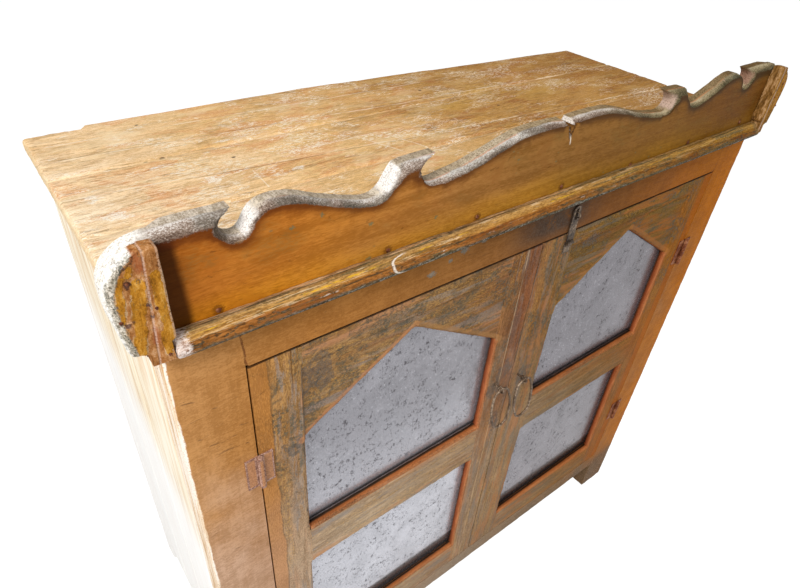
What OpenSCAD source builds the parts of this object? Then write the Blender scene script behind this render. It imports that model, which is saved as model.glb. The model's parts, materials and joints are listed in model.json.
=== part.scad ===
// Small buffet cabinet with a scalloped crest board and two mirror-panelled doors.
// Millimetres. X runs along the front, the front faces -Y, Z is up and the floor is z = 0.
// The origin is at the bottom centre of the whole cabinet.

/* [Carcass] */
// Width across the two front stiles
body_w = 1012; // [900:1:1200]
// Depth from the face of the front frame to the back edge of the top
body_d = 477; // [400:1:600]
// Height of the framed carcass, under the top boards
frame_h = 967; // [950:1:1060]
// Width of each front stile
stile_w = 74; // [64:1:90]
// Depth of each front stile and front rail, front to back
stile_d = 42; // [38:1:60]
// Clear height under the bottom rails
foot_h = 88; // [40:1:105]
// Height of the front bottom rail
bottom_rail_h = 42.5; // [35:0.5:60]
// Height of the front top rail
top_rail_h = 57.5; // [50:0.5:75]
// Width of each rear post
rear_post_w = 50; // [46:1:70]
// Depth of each rear post
rear_post_d = 40; // [30:1:60]
// Thickness of the upright side boards
side_board_t = 14; // [10:0.5:17]
// Number of upright boards in each side
side_board_count = 3; // [2:1:5]
// Thickness of the side rails behind the side boards
side_rail_t = 22; // [16:1:24]
// Height of the upper side rails and the upper rear rail
carcass_rail_h = 60; // [45:1:80]
// Thickness of the upright back boards
back_board_t = 12; // [8:0.5:18]
// Number of upright boards in the back
back_board_count = 4; // [3:1:7]
// Thickness of the rear rails in front of the back boards
rear_rail_t = 22; // [16:1:30]
// Thickness of the bottom board
bottom_board_t = 14; // [10:0.5:20]
// Height of the underside of the shelf
shelf_z = 506; // [350:1:700]
// Thickness of the shelf
shelf_t = 16; // [12:0.5:22]
// Height of the cleats under the shelf
cleat_h = 26; // [18:1:40]
// Width of the cleats under the shelf
cleat_w = 22; // [16:1:30]
// Gap between neighbouring upright boards
board_gap = 0.8; // [0.4:0.1:2]
// Clearance of a loose board or a tenon in its seat
fit_gap = 0.2; // [0.1:0.05:0.5]

/* [Top] */
// Thickness of the top boards
top_t = 20; // [14:0.5:28]
// Overhang of the top boards past the left side
top_left_overhang = 12; // [5:1:28]
// Overhang of the top boards past the right side
top_right_overhang = 28; // [5:1:28]
// Overhang of the top boards past the back, at their left end
top_back_overhang = 28; // [6:1:40]
// How much less the rear top board reaches back at its right end
top_skew = 26; // [0:1:30]
// Depth of the front top board
top_front_d = 158; // [120:1:180]
// Depth of the middle top board
top_middle_d = 146; // [110:1:170]

/* [Crest] */
// Thickness of the crest board
crest_t = 22; // [16:0.5:28]
// Height of the crest board at its tallest hump
crest_h = 113; // [90:1:150]
// How far the crest stands past each side of the carcass
crest_overhang = 29; // [29:1:45]
// Thickness of the lobed end blocks in front of the crest
crest_end_t = 15; // [10:0.5:20]
// Width of the end blocks
crest_end_w = 40; // [34:1:50]
// Width of the straight strip on the inner side of each end block
crest_strip_w = 20; // [14:1:24]
// How far the straight strip stands proud of the lobed part
crest_strip_proud = 2; // [0.5:0.5:4]

/* [Moulding] */
// How far the moulding stands in front of the frame
mould_out = 21; // [19:0.5:32]
// Radius of the round nose of the moulding
mould_nose_r = 7; // [5:0.5:9]
// Height of the small step above the nose
mould_top_step = 5; // [3:0.5:8]
// Height of the small fillet under the nose
mould_fillet = 4; // [2:0.5:6]
// How far the moulding hangs below the foot of the crest
mould_drop = 5; // [0:0.5:10]

/* [Doors] */
// Thickness of the door frames
door_t = 28; // [24:0.5:34]
// Gap between a door and the carcass around it
door_gap = 2; // [1.5:0.25:4]
// Gap between the two doors
meeting_gap = 2.5; // [1.5:0.25:5]
// Width of the lock stile of the left door
left_lock_w = 54; // [50:1:80]
// Width of the lock stile of the right door
right_lock_w = 71; // [65:1:90]
// Width of the hinge stile of the left door
left_hinge_w = 60; // [40:1:80]
// Width of the hinge stile of the right door
right_hinge_w = 52; // [40:1:80]
// Height of the door bottom rails
door_bottom_rail_h = 67.5; // [50:0.5:85]
// Height of the lower mirror openings
lower_opening_h = 275.5; // [200:0.5:290]
// Height of the door middle rails
door_middle_rail_h = 89.5; // [60:0.5:105]
// Height of the door top rails
door_top_rail_h = 31.5; // [28:0.5:50]
// Distance from the top of the upper openings down to the apex of the gable
gable_margin = 22; // [14:1:40]
// Rise of the gable from its shoulders to its apex
gable_rise = 97; // [60:1:100]
// Width of the worn bevel round the openings
bevel = 3; // [1:0.5:5]
// Distance from the door face to the mirrors
mirror_set = 13.5; // [9:0.5:15]
// Thickness of the mirrors
mirror_t = 4; // [3:0.5:5]
// Width of the rebate that holds the mirrors
rebate_w = 8; // [5:0.5:11]
// Thickness of the backing boards behind the mirrors
backing_t = 6; // [3:0.5:7]

/* [Joinery] */
// Length of the tenons of the front rails
front_tenon_l = 30; // [15:1:36]
// Length of the tenons of the side rails
side_tenon_l = 24; // [12:1:30]
// Length of the tenons of the rear rails
rear_tenon_l = 14; // [8:1:16]
// Thickness of the carcass tenons
carcass_tenon_t = 12; // [8:1:14]
// Length of the door tenons
door_tenon_l = 25; // [12:1:34]
// Thickness of the door tenons
door_tenon_t = 5; // [4:0.5:7]
// Shoulder above and below each tenon
shoulder = 8; // [4:1:9]

/* [Hinges] */
// Height of each butt hinge
hinge_h = 52; // [40:1:80]
// Width of each hinge leaf, from the pin
hinge_leaf_w = 17; // [13:1:24]
// Thickness of the hinge leaves
leaf_t = 1.6; // [1:0.1:2.5]
// Radius of the hinge knuckles
knuckle_r = 3.8; // [3.2:0.1:5]
// Radius of the hinge pins
hinge_pin_r = 1.6; // [1.2:0.1:2.2]
// Running clearance round the hinge pins
pin_clearance = 0.05; // [0.02:0.01:0.1]
// Gap between neighbouring knuckles
knuckle_gap = 0.4; // [0.2:0.1:0.8]
// Distance from the door top to the middle of the upper hinges
upper_hinge_drop = 162; // [80:1:250]
// Distance from the door foot to the middle of the lower hinges
lower_hinge_rise = 170; // [80:1:250]

/* [Ring pulls] */
// Width of the oval rings, outside
ring_w = 45; // [36:1:47]
// Height of the oval rings, outside
ring_h = 102; // [80:1:120]
// Radius of the ring wire
ring_wire_r = 1.9; // [1.4:0.1:2.2]
// Bend radius at the ends of the oval
ring_end_r = 16; // [13:0.5:16]
// Lean of the rings away from plumb
ring_lean = 12; // [0:1:12]
// Radius of the wire of the eyes
eye_wire_r = 1.6; // [1.2:0.1:1.8]
// Radius of the eye loops, to the middle of the wire
eye_loop_r = 5.2; // [4.8:0.1:6.5]
// Reach of the eye loops in front of the doors
eye_reach = 14; // [12:0.5:20]
// Slack of the ring wire in its eye
ring_slack = 0.7; // [0.5:0.05:1]
// Distance of the left eye from the middle of the cabinet
left_eye_x = 36; // [36:1:44]
// Distance of the right eye from the middle of the cabinet
right_eye_x = 17.5; // [15:0.5:30]
// Height of the left eye above the foot of the upper opening
left_eye_rise = 91; // [60:1:140]
// Height of the right eye above the foot of the upper opening
right_eye_rise = 84; // [60:1:140]

/* [Hasp] */
// Distance of the hasp from the middle of the cabinet
hasp_x = 54; // [30:1:100]
// Width of the hasp strap
hasp_w = 14; // [12:0.5:20]
// Thickness of the hasp strap
hasp_t = 1.6; // [1.2:0.1:2]
// Length of the hasp from its pin to its tip
hasp_l = 58; // [52:1:62]
// Distance from the door top down to the hasp pin
hasp_drop = 15; // [13:1:18]
// Radius of the hasp pin
hasp_pin_r = 1.3; // [1:0.1:1.6]
// Radius of the hasp knuckles
hasp_knuckle_r = 3; // [2.6:0.1:3.4]
// Distance from the frame face to the middle of the hasp pin
hasp_pin_out = 4; // [3.6:0.1:5]
// Width of the slot in the hasp
slot_w = 5; // [4.5:0.1:7]
// Height of the slot in the hasp
slot_h = 18; // [16:0.5:22]
// Radius of the staple wire
staple_wire_r = 1.3; // [1:0.1:1.5]
// Distance between the two legs of the staple
staple_span = 8; // [6:0.5:8]
// Reach of the staple in front of the frame
staple_reach = 10; // [8:0.5:14]

/* [Hidden] */

// Colours of the paint and wood
straw_wood = [0.84, 0.71, 0.51];
ochre_paint = [0.76, 0.49, 0.15];
mustard_paint = [0.80, 0.58, 0.20];
door_paint = [0.66, 0.49, 0.27];
cream_wood = [0.86, 0.79, 0.66];
raw_wood = [0.52, 0.38, 0.24];
mirror_grey = [0.66, 0.67, 0.70];
hinge_iron = [0.47, 0.30, 0.22];
wire_iron = [0.62, 0.58, 0.52];

LEFT = -1;
RIGHT = 1;

// Planes front to back; the moulding or the eyes reach furthest forward
front_reach = max(mould_out, eye_reach + eye_loop_r + eye_wire_r);
face_y = (front_reach - body_d) / 2;
back_y = face_y + body_d;
carcass_back_y = back_y - top_back_overhang;
back_board_y = carcass_back_y - back_board_t;
rear_rail_y = back_board_y - rear_rail_t;
frame_back_y = face_y + stile_d;
rear_post_y = carcass_back_y - rear_post_d;
crest_back_y = face_y + crest_t;
door_back_y = face_y + door_t;

// Places along the front
side_x = body_w / 2;
bay_x = side_x - stile_w;
panel_x = side_x - side_board_t;
side_rail_x = panel_x - side_rail_t;
rear_post_x = side_x - rear_post_w;
top_left_x = -side_x - top_left_overhang;
top_right_x = side_x + top_right_overhang;
crest_x = side_x + crest_overhang;
crest_span = crest_x - crest_end_w;

// Heights
bay_z0 = foot_h + bottom_rail_h;
bay_z1 = frame_h - top_rail_h;
door_z0 = bay_z0 + door_gap;
door_z1 = bay_z1 - door_gap;
lower_z0 = door_z0 + door_bottom_rail_h;
lower_z1 = lower_z0 + lower_opening_h;
upper_z0 = lower_z1 + door_middle_rail_h;
upper_z1 = door_z1 - door_top_rail_h;
upper_hinge_z = door_z1 - upper_hinge_drop;
lower_hinge_z = door_z0 + lower_hinge_rise;
apex_z = upper_z1 - gable_margin;
shoulder_z = apex_z - gable_rise;

// Places across a door, measured from the middle of the cabinet
door_in = meeting_gap / 2;
door_out = bay_x - door_gap;
function lock_w(side) = side == LEFT ? left_lock_w : right_lock_w;
function hinge_w(side) = side == LEFT ? left_hinge_w : right_hinge_w;
function opening_in(side) = door_in + lock_w(side);
function opening_out(side) = door_out - hinge_w(side);
function opening_mid(side) = (opening_in(side) + opening_out(side)) / 2;

// Hinge line
hinge_x = bay_x - door_gap / 2;
hinge_y = face_y - knuckle_r - knuckle_gap;
knuckles = 5;
knuckle_h = hinge_h / knuckles;
leaf_edge = 0.8;

// Ring pulls and their eyes
ring_axis_r = ring_h / 2 - ring_wire_r;
ring_side_a = ring_w / 2 - ring_wire_r;
ring_end_c = ring_axis_r - ring_end_r;
ring_side_r = (pow(ring_side_a, 2) + pow(ring_end_c, 2) - pow(ring_end_r, 2))
  / (2 * (ring_side_a - ring_end_r));
ring_side_angle = atan2(ring_end_c, ring_side_r - ring_side_a);
eye_inside_r = eye_loop_r - eye_wire_r;
ring_hang = eye_inside_r - ring_wire_r - ring_slack;
eye_shank_l = 24;
eye_y = face_y - eye_reach;
function eye_x(side) = side == LEFT ? -left_eye_x : right_eye_x;
function eye_z(side) = upper_z0 + (side == LEFT ? left_eye_rise : right_eye_rise);

// Hasp
hasp_z = door_z1 - hasp_drop;
hasp_y = face_y - hasp_pin_out;
hasp_tip_margin = 4;
slot_mid_z = hasp_z + hasp_l - hasp_tip_margin - slot_h / 2;
hasp_knuckle_w = 6;
anchor_ear_w = 3;
anchor_h = 18;
nail_drop = 13;
nail_spread = 8;
staple_leg_l = 10;

// Facets on round pieces
round_fn = 48;
small_fn = 32;

// Box between two opposite corners
module block(low, high) {
  translate(low) cube(high - low);
}

// Draws a right-hand piece on either side
module on_side(side) {
  if (side == LEFT) mirror([1, 0, 0]) children();
  else children();
}

// Top edge of one half of the crest, from the middle to the end block, as runs of
// points: thousandths of the half span and thousandths of the height of the crest.
// The number before a run is its steps from point to point.
crest_runs = [
  [1, [[0, 788], [14, 965]]],
  [4, [[14, 965], [45, 980], [97, 982], [164, 965], [224, 903], [281, 832], [337, 774],
       [384, 743], [414, 726], [434, 738], [447, 779], [452, 841], [447, 900], [434, 948],
       [412, 991]]],
  [3, [[412, 991], [453, 987], [491, 982], [509, 965]]],
  [4, [[509, 965], [522, 900], [535, 810], [552, 745], [580, 726], [630, 783], [683, 863],
       [727, 942], [764, 978], [792, 973], [812, 938], [826, 876], [836, 805], [847, 768],
       [862, 770], [874, 808], [879, 867], [874, 932], [855, 996]]],
  [3, [[855, 996], [900, 999], [950, 1000], [1000, 998]]]
];
// Lobe at the end, the same way, in thousandths of the width of the end block
lobe_run = [[0, 998], [350, 973], [650, 912], [875, 823], [1000, 690], [988, 460], [850, 133]];

// Point on a smooth curve between b and c, which passes through all four points
function curve_point(a, b, c, d, t) =
  0.5 * (2 * b + (c - a) * t + (2 * a - 5 * b + 4 * c - d) * t * t
         + (3 * b - a - 3 * c + d) * t * t * t);

// Smooth run through its points, without the last one
function smooth_run(points, steps) = [
  for (i = [0 : len(points) - 2], k = [0 : steps - 1])
    curve_point(points[max(i - 1, 0)], points[i], points[i + 1],
                points[min(i + 2, len(points) - 1)], k / steps)
];

// Point of a run, as far out as start plus its share of the width
function fit_point(p, start, width) = [start + p[0] * width / 1000, p[1] * crest_h / 1000];
function fit_run(points, steps, start, width) = [
  for (p = steps == 1 ? [for (i = [0 : len(points) - 2]) points[i]]
                      : smooth_run(points, steps))
    fit_point(p, start, width)
];
crest_foot_x = crest_span + crest_strip_w;
half_crest = concat(
  [for (run = crest_runs) each fit_run(run[1], run[0], 0, crest_span)],
  fit_run(lobe_run, 5, crest_span, crest_end_w),
  [fit_point(lobe_run[len(lobe_run) - 1], crest_span, crest_end_w),
   fit_point([0, 120], crest_foot_x, 0)]
);

module crest_outline() {
  left_half = [for (i = [len(half_crest) - 1 : -1 : 1]) [-half_crest[i][0], half_crest[i][1]]];
  polygon(concat(half_crest, [[crest_foot_x, 0], [-crest_foot_x, 0]], left_half));
}

// Slab of the crest outline between two planes front to back
module crest_slab(front, back) {
  translate([0, back, frame_h]) rotate([90, 0, 0])
    linear_extrude(back - front) crest_outline();
}

module crest_board() {
  color(ochre_paint) crest_slab(face_y, crest_back_y);
}

// Lobed block at the end of the crest, with its straight strip
module crest_end(side) {
  strip_x = crest_span + crest_strip_w;
  low = frame_h - 1;
  high = frame_h + 2 * crest_h;
  color(mustard_paint) on_side(side) union() {
    intersection() {
      crest_slab(face_y - crest_end_t, face_y);
      block([crest_span, face_y - mould_out, low], [crest_x + 1, face_y, high]);
    }
    intersection() {
      crest_slab(face_y - crest_end_t - crest_strip_proud, face_y);
      block([crest_span, face_y - mould_out, low], [strip_x, face_y, high]);
    }
  }
}
module crest_end_left() crest_end(LEFT);
module crest_end_right() crest_end(RIGHT);

// Moulding at the foot of the crest: fillet, round nose and a small step above
function arc_points(cx, cy, r, from, to, steps) = [
  for (i = [0 : steps]) [cx + r * cos(from + (to - from) * i / steps),
                         cy + r * sin(from + (to - from) * i / steps)]
];
module moulding_profile() {
  nose_x = mould_out - mould_nose_r;
  nose_z = mould_fillet + mould_nose_r;
  step_z = nose_z + mould_nose_r;
  groove = 1.5;
  polygon(concat(
    [[0, 0], [nose_x - mould_fillet, 0]],
    arc_points(nose_x - mould_fillet, mould_fillet, mould_fillet, -90, 0, 5),
    arc_points(nose_x, nose_z, mould_nose_r, -90, 90, 12),
    [[nose_x - 1, step_z], [nose_x - 1, step_z + groove]],
    arc_points(nose_x - 2 - mould_top_step, step_z + groove, mould_top_step, 0, 90, 6),
    [[0, step_z + groove + mould_top_step]]
  ));
}
module crest_moulding() {
  color(mustard_paint)
    translate([-crest_span, face_y, frame_h - mould_drop]) rotate([90, 0, 90])
      mirror([1, 0, 0]) linear_extrude(2 * crest_span) moulding_profile();
}

// Boards of the top, one behind the other; a board may be narrower at its right end
module top_board(front, back, narrower = 0) {
  color(straw_wood) translate([0, 0, frame_h]) linear_extrude(top_t)
    polygon([[top_left_x, front], [top_right_x, front],
             [top_right_x, back - narrower], [top_left_x, back]]);
}
top_middle_y = crest_back_y + top_front_d;
top_rear_y = top_middle_y + top_middle_d;
module top_board_front() top_board(crest_back_y, top_middle_y);
module top_board_middle() top_board(top_middle_y, top_rear_y);
module top_board_rear() top_board(top_rear_y, back_y, top_skew);

// Bar with a tenon on each end. The bar runs along X or Y; grow widens a mortise.
module tenoned_bar(low, high, along, length, thick, grow = 0) {
  across = 1 - along;
  mid = (low[across] + high[across]) / 2;
  tenon_low = [for (i = [0 : 2]) i == along ? low[i] - length - grow
    : i == across ? mid - thick / 2 - grow : low[i] + shoulder - grow];
  tenon_high = [for (i = [0 : 2]) i == along ? high[i] + length + grow
    : i == across ? mid + thick / 2 + grow : high[i] - shoulder + grow];
  if (grow == 0) block(low, high);
  block(tenon_low, tenon_high);
}

// Front rails, between the stiles
module front_rail(z0, z1, grow = 0) {
  tenoned_bar([-bay_x, face_y, z0], [bay_x, frame_back_y, z1], 0,
              front_tenon_l, carcass_tenon_t, grow);
}
// Rails of a side, between the front stile and the rear post, drawn at the right
module side_rail(z0, z1, grow = 0) {
  tenoned_bar([side_rail_x, frame_back_y, z0],
              [panel_x, rear_post_y, z1], 1,
              side_tenon_l, carcass_tenon_t, grow);
}
// Rails of the back, between the rear posts
module rear_rail(z0, z1, grow = 0) {
  tenoned_bar([-rear_post_x, rear_rail_y, z0],
              [rear_post_x, back_board_y, z1], 0,
              rear_tenon_l, carcass_tenon_t, grow);
}
high_rail_z = frame_h - carcass_rail_h;

module front_top_rail() {
  color(ochre_paint) difference() {
    union() front_rail(bay_z1, frame_h);
    staple_wire(staple_wire_r + pin_clearance);
  }
}
module front_bottom_rail() {
  color(door_paint) front_rail(foot_h, bay_z0);
}
module rear_top_rail() {
  color(raw_wood) rear_rail(high_rail_z, frame_h);
}
module rear_bottom_rail() {
  color(raw_wood) rear_rail(foot_h, bay_z0);
}
module side_top_rail(side) {
  color(raw_wood) on_side(side) side_rail(high_rail_z, frame_h);
}
module side_bottom_rail(side) {
  color(raw_wood) on_side(side) side_rail(foot_h, bay_z0);
}
module side_top_rail_left() side_top_rail(LEFT);
module side_top_rail_right() side_top_rail(RIGHT);
module side_bottom_rail_left() side_bottom_rail(LEFT);
module side_bottom_rail_right() side_bottom_rail(RIGHT);

// Front stile that runs down to the floor as a foot, with its mortises
module front_stile(side) {
  color(ochre_paint) on_side(side) difference() {
    block([bay_x, face_y, 0], [side_x, frame_back_y, frame_h]);
    front_rail(bay_z1, frame_h, fit_gap);
    front_rail(foot_h, bay_z0, fit_gap);
    side_rail(high_rail_z, frame_h, fit_gap);
    side_rail(foot_h, bay_z0, fit_gap);
  }
}
module front_stile_left() front_stile(LEFT);
module front_stile_right() front_stile(RIGHT);

module rear_post(side) {
  color(cream_wood) on_side(side) difference() {
    block([rear_post_x, rear_post_y, 0], [side_x, carcass_back_y, frame_h]);
    rear_rail(high_rail_z, frame_h, fit_gap);
    rear_rail(foot_h, bay_z0, fit_gap);
    side_rail(high_rail_z, frame_h, fit_gap);
    side_rail(foot_h, bay_z0, fit_gap);
  }
}
module rear_post_left() rear_post(LEFT);
module rear_post_right() rear_post(RIGHT);

// Upright boards nailed over the side rails, flush with the stile and the post
module side_boards(side) {
  pitch = (rear_post_y - frame_back_y) / side_board_count;
  color(cream_wood) on_side(side) for (i = [0 : side_board_count - 1])
    block([panel_x, frame_back_y + i * pitch + board_gap / 2, foot_h],
          [side_x, frame_back_y + (i + 1) * pitch - board_gap / 2, frame_h]);
}
module side_boards_left() side_boards(LEFT);
module side_boards_right() side_boards(RIGHT);

// Upright boards nailed over the rear rails, between the posts
module back_boards() {
  pitch = 2 * rear_post_x / back_board_count;
  color(raw_wood) for (i = [0 : back_board_count - 1])
    block([-rear_post_x + i * pitch + board_gap / 2, back_board_y, foot_h],
          [-rear_post_x + (i + 1) * pitch - board_gap / 2, carcass_back_y, frame_h]);
}

// Corners that a level board leaves free for the stiles and posts
module corner_notches(z0, z1) {
  for (side = [LEFT, RIGHT]) on_side(side) {
    block([bay_x - fit_gap, face_y, z0 - 1], [side_x, frame_back_y + fit_gap, z1 + 1]);
    block([rear_post_x - fit_gap, rear_post_y - fit_gap, z0 - 1],
          [side_x, carcass_back_y + 1, z1 + 1]);
  }
}
// Level board between the sides, from behind the doors to the back boards
module level_board(front, z0, thick) {
  color(raw_wood) difference() {
    block([-panel_x + fit_gap, front, z0], [panel_x - fit_gap, back_board_y - fit_gap, z0 + thick]);
    corner_notches(z0, z0 + thick);
  }
}
module bottom_board() level_board(door_back_y + door_gap, bay_z0, bottom_board_t);
module shelf() level_board(frame_back_y, shelf_z, shelf_t);
module shelf_cleats() {
  color(raw_wood) for (side = [LEFT, RIGHT]) on_side(side)
    block([panel_x - cleat_w, frame_back_y + fit_gap, shelf_z - cleat_h],
          [panel_x, rear_post_y - fit_gap, shelf_z]);
}

// Opening in a door frame with a bevel round its front edge, on the right-hand side
module opening_cut(side, z0, z1) {
  in = opening_in(side);
  out = opening_out(side);
  deep = door_t + 1;
  intersection() {
    translate([0, 0, z0 - bevel]) linear_extrude(z1 - z0 + 2 * bevel) polygon([
      [in - bevel, face_y - 0.01], [in, face_y + bevel], [in, face_y + deep],
      [out, face_y + deep], [out, face_y + bevel], [out + bevel, face_y - 0.01]]);
    translate([in - bevel, 0, 0]) rotate([90, 0, 90]) linear_extrude(out - in + 2 * bevel)
      polygon([[face_y - 0.01, z0 - bevel], [face_y + bevel, z0], [face_y + deep, z0],
               [face_y + deep, z1], [face_y + bevel, z1], [face_y - 0.01, z1 + bevel]]);
  }
}
// Rebate behind an opening, for the mirror and its backing
module rebate_cut(side, z0, z1) {
  block([opening_in(side) - rebate_w, face_y + mirror_set, z0 - rebate_w],
        [opening_out(side) + rebate_w, door_back_y + 1, z1 + rebate_w]);
}
module door_cuts(side) {
  opening_cut(side, lower_z0, lower_z1);
  opening_cut(side, upper_z0, upper_z1);
  rebate_cut(side, lower_z0, lower_z1);
  rebate_cut(side, upper_z0, upper_z1);
}

// Rail of a door with its tenons, in front of the rebate; grow widens a mortise
module door_rail_bar(side, z0, z1, grow = 0) {
  tenon_y = face_y + (mirror_set + bevel - door_tenon_t) / 2;
  low = [opening_in(side) - door_tenon_l - grow, tenon_y - grow, z0 + shoulder - grow];
  high = [opening_out(side) + door_tenon_l + grow, tenon_y + door_tenon_t + grow,
          z1 - shoulder + grow];
  if (grow == 0)
    block([opening_in(side), face_y, z0], [opening_out(side), door_back_y, z1]);
  block(low, high);
}
module door_rail(side, z0, z1) {
  color(door_paint) on_side(side) difference() {
    union() door_rail_bar(side, z0, z1);
    door_cuts(side);
  }
}
module door_top_rail(side) {
  if (side == RIGHT) difference() {
    door_rail(side, upper_z1, door_z1);
    anchor_nails(hasp_pin_r + pin_clearance);
  }
  else door_rail(side, upper_z1, door_z1);
}
module door_middle_rail(side) door_rail(side, lower_z1, upper_z0);
module door_bottom_rail(side) door_rail(side, door_z0, lower_z0);

module door_mortises(side) {
  door_rail_bar(side, upper_z1, door_z1, fit_gap);
  door_rail_bar(side, lower_z1, upper_z0, fit_gap);
  door_rail_bar(side, door_z0, lower_z0, fit_gap);
}
module door_hinge_stile(side) {
  color(door_paint) on_side(side) difference() {
    block([opening_out(side), face_y, door_z0], [door_out, door_back_y, door_z1]);
    door_cuts(side);
    door_mortises(side);
  }
}
module door_lock_stile(side) {
  color(door_paint) difference() {
    on_side(side) difference() {
      block([door_in, face_y, door_z0], [opening_in(side), door_back_y, door_z1]);
      door_cuts(side);
      door_mortises(side);
    }
    eye_shank(side, eye_wire_r + pin_clearance);
    if (side == RIGHT) anchor_nails(hasp_pin_r + pin_clearance);
  }
}

// Board that fills one upper corner of the opening, under the gable
module spandrel(side, edge_x) {
  mid = opening_mid(side);
  length = norm([mid - edge_x, gable_rise]) + 2 * bevel;
  tilt = atan2(gable_rise, abs(mid - edge_x));
  color(door_paint) on_side(side) difference() {
    translate([0, face_y + mirror_set, 0]) rotate([90, 0, 0])
      linear_extrude(mirror_set - bevel)
        polygon([[edge_x, shoulder_z], [edge_x, upper_z1], [mid, upper_z1], [mid, apex_z]]);
    translate([edge_x, face_y + bevel, shoulder_z])
      mirror([edge_x > mid ? 1 : 0, 0, 0]) rotate([0, -tilt, 0])
        translate([-bevel, 0, 0]) rotate([90, 0, 90]) linear_extrude(length)
          polygon([[-1, -1], [-1, bevel + 1], [bevel + 1, -1]]);
  }
}
module door_outer_spandrel(side) spandrel(side, opening_out(side));
module door_inner_spandrel(side) spandrel(side, opening_in(side));

// Plate in the rebate, between two planes front to back
module rebate_plate(side, z0, z1, front, back) {
  on_side(side)
    block([opening_in(side) - rebate_w + fit_gap, front, z0 - rebate_w + fit_gap],
          [opening_out(side) + rebate_w - fit_gap, back, z1 + rebate_w - fit_gap]);
}
mirror_front_y = face_y + mirror_set;
mirror_back_y = mirror_front_y + mirror_t;
module door_upper_mirror(side) {
  color(mirror_grey) rebate_plate(side, upper_z0, upper_z1, mirror_front_y, mirror_back_y);
}
module door_lower_mirror(side) {
  color(mirror_grey) rebate_plate(side, lower_z0, lower_z1, mirror_front_y, mirror_back_y);
}
module door_backing(side) {
  color(raw_wood) for (z = [[lower_z0, lower_z1], [upper_z0, upper_z1]])
    rebate_plate(side, z[0], z[1], mirror_back_y, mirror_back_y + backing_t);
}

// Butt hinges: odd knuckles belong to the frame leaf, even ones to the door leaf
module hinge_leaf(z, outward, first) {
  z0 = z - hinge_h / 2;
  difference() {
    union() {
      translate([outward > 0 ? hinge_x + leaf_edge : hinge_x - hinge_leaf_w,
                 face_y - leaf_t, z0])
        cube([hinge_leaf_w - leaf_edge, leaf_t, hinge_h]);
      for (i = [first : 2 : knuckles - 1])
        translate([hinge_x, hinge_y, z0 + i * knuckle_h])
          cylinder(r = knuckle_r, h = knuckle_h, $fn = round_fn);
    }
    for (i = [1 - first : 2 : knuckles - 1])
      translate([hinge_x, hinge_y, z0 + i * knuckle_h - knuckle_gap])
        cylinder(r = knuckle_r + knuckle_gap, h = knuckle_h + 2 * knuckle_gap, $fn = round_fn);
    translate([hinge_x, hinge_y, z0 - 1])
      cylinder(r = hinge_pin_r + pin_clearance, h = hinge_h + 2, $fn = small_fn);
  }
}
module frame_hinge_leaves(side) {
  color(hinge_iron) on_side(side) for (z = [lower_hinge_z, upper_hinge_z]) hinge_leaf(z, 1, 0);
}
module door_hinge_leaves(side) {
  color(hinge_iron) on_side(side) for (z = [lower_hinge_z, upper_hinge_z]) hinge_leaf(z, -1, 1);
}
// Pins with a flat head on the top knuckle
module hinge_pins(side) {
  head_h = 1.4;
  head_r = hinge_pin_r + 1;
  color(hinge_iron) on_side(side) for (z = [lower_hinge_z, upper_hinge_z])
    translate([hinge_x, hinge_y, z - hinge_h / 2]) {
      cylinder(r = hinge_pin_r, h = hinge_h, $fn = small_fn);
      translate([0, 0, hinge_h]) cylinder(r = head_r, h = head_h, $fn = small_fn);
    }
}
module frame_hinge_leaves_left() frame_hinge_leaves(LEFT);
module frame_hinge_leaves_right() frame_hinge_leaves(RIGHT);
module hinge_pins_left() hinge_pins(LEFT);
module hinge_pins_right() hinge_pins(RIGHT);

// Eye: a shank driven into the lock stile and a loop that carries the ring
module eye_shank(side, r) {
  start = face_y - eye_reach + eye_loop_r;
  translate([eye_x(side), start, eye_z(side)]) rotate([-90, 0, 0])
    cylinder(r = r, h = eye_reach - eye_loop_r + eye_shank_l, $fn = small_fn);
}
module ring_eye(side) {
  color(wire_iron) union() {
    eye_shank(side, eye_wire_r);
    translate([eye_x(side), eye_y, eye_z(side)]) rotate([0, 90, 0])
      rotate_extrude($fn = round_fn) translate([eye_loop_r, 0]) circle(r = eye_wire_r, $fn = small_fn);
  }
}

// Stations round the oval: its middle line and the outward angle, arc by arc
function oval_arc(cx, cz, r, from, to, steps) = [
  for (i = [0 : steps - 1]) let(a = from + (to - from) * i / steps)
    [cx + r * cos(a), cz + r * sin(a), a]
];
ring_stations = concat(
  oval_arc(ring_side_a - ring_side_r, 0, ring_side_r, -ring_side_angle, ring_side_angle, 6),
  oval_arc(0, ring_end_c, ring_end_r, ring_side_angle, 180 - ring_side_angle, 12),
  oval_arc(ring_side_r - ring_side_a, 0, ring_side_r, 180 - ring_side_angle,
           180 + ring_side_angle, 6),
  oval_arc(0, -ring_end_c, ring_end_r, 180 + ring_side_angle, 360 - ring_side_angle, 12)
);
ring_sides = 12;

// Round wire swept along the stations and closed on itself
module oval_ring() {
  count = len(ring_stations);
  points = [for (s = ring_stations, j = [0 : ring_sides - 1])
    let(phi = 360 * j / ring_sides, reach = ring_wire_r * cos(phi))
      [s[0] + reach * cos(s[2]), ring_wire_r * sin(phi), s[1] + reach * sin(s[2])]];
  faces = [for (k = [0 : count - 1], j = [0 : ring_sides - 1])
    let(a = k * ring_sides + j,
        b = k * ring_sides + (j + 1) % ring_sides,
        c = ((k + 1) % count) * ring_sides + (j + 1) % ring_sides,
        d = ((k + 1) % count) * ring_sides + j)
      each [[a, d, c], [a, c, b]]];
  polyhedron(points, faces);
}
// Ring that hangs through the eye
module ring(side) {
  color(wire_iron)
    translate([eye_x(side), eye_y, eye_z(side) - ring_hang]) rotate([0, -ring_lean, 0])
      translate([0, 0, -ring_axis_r]) oval_ring();
}

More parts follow.
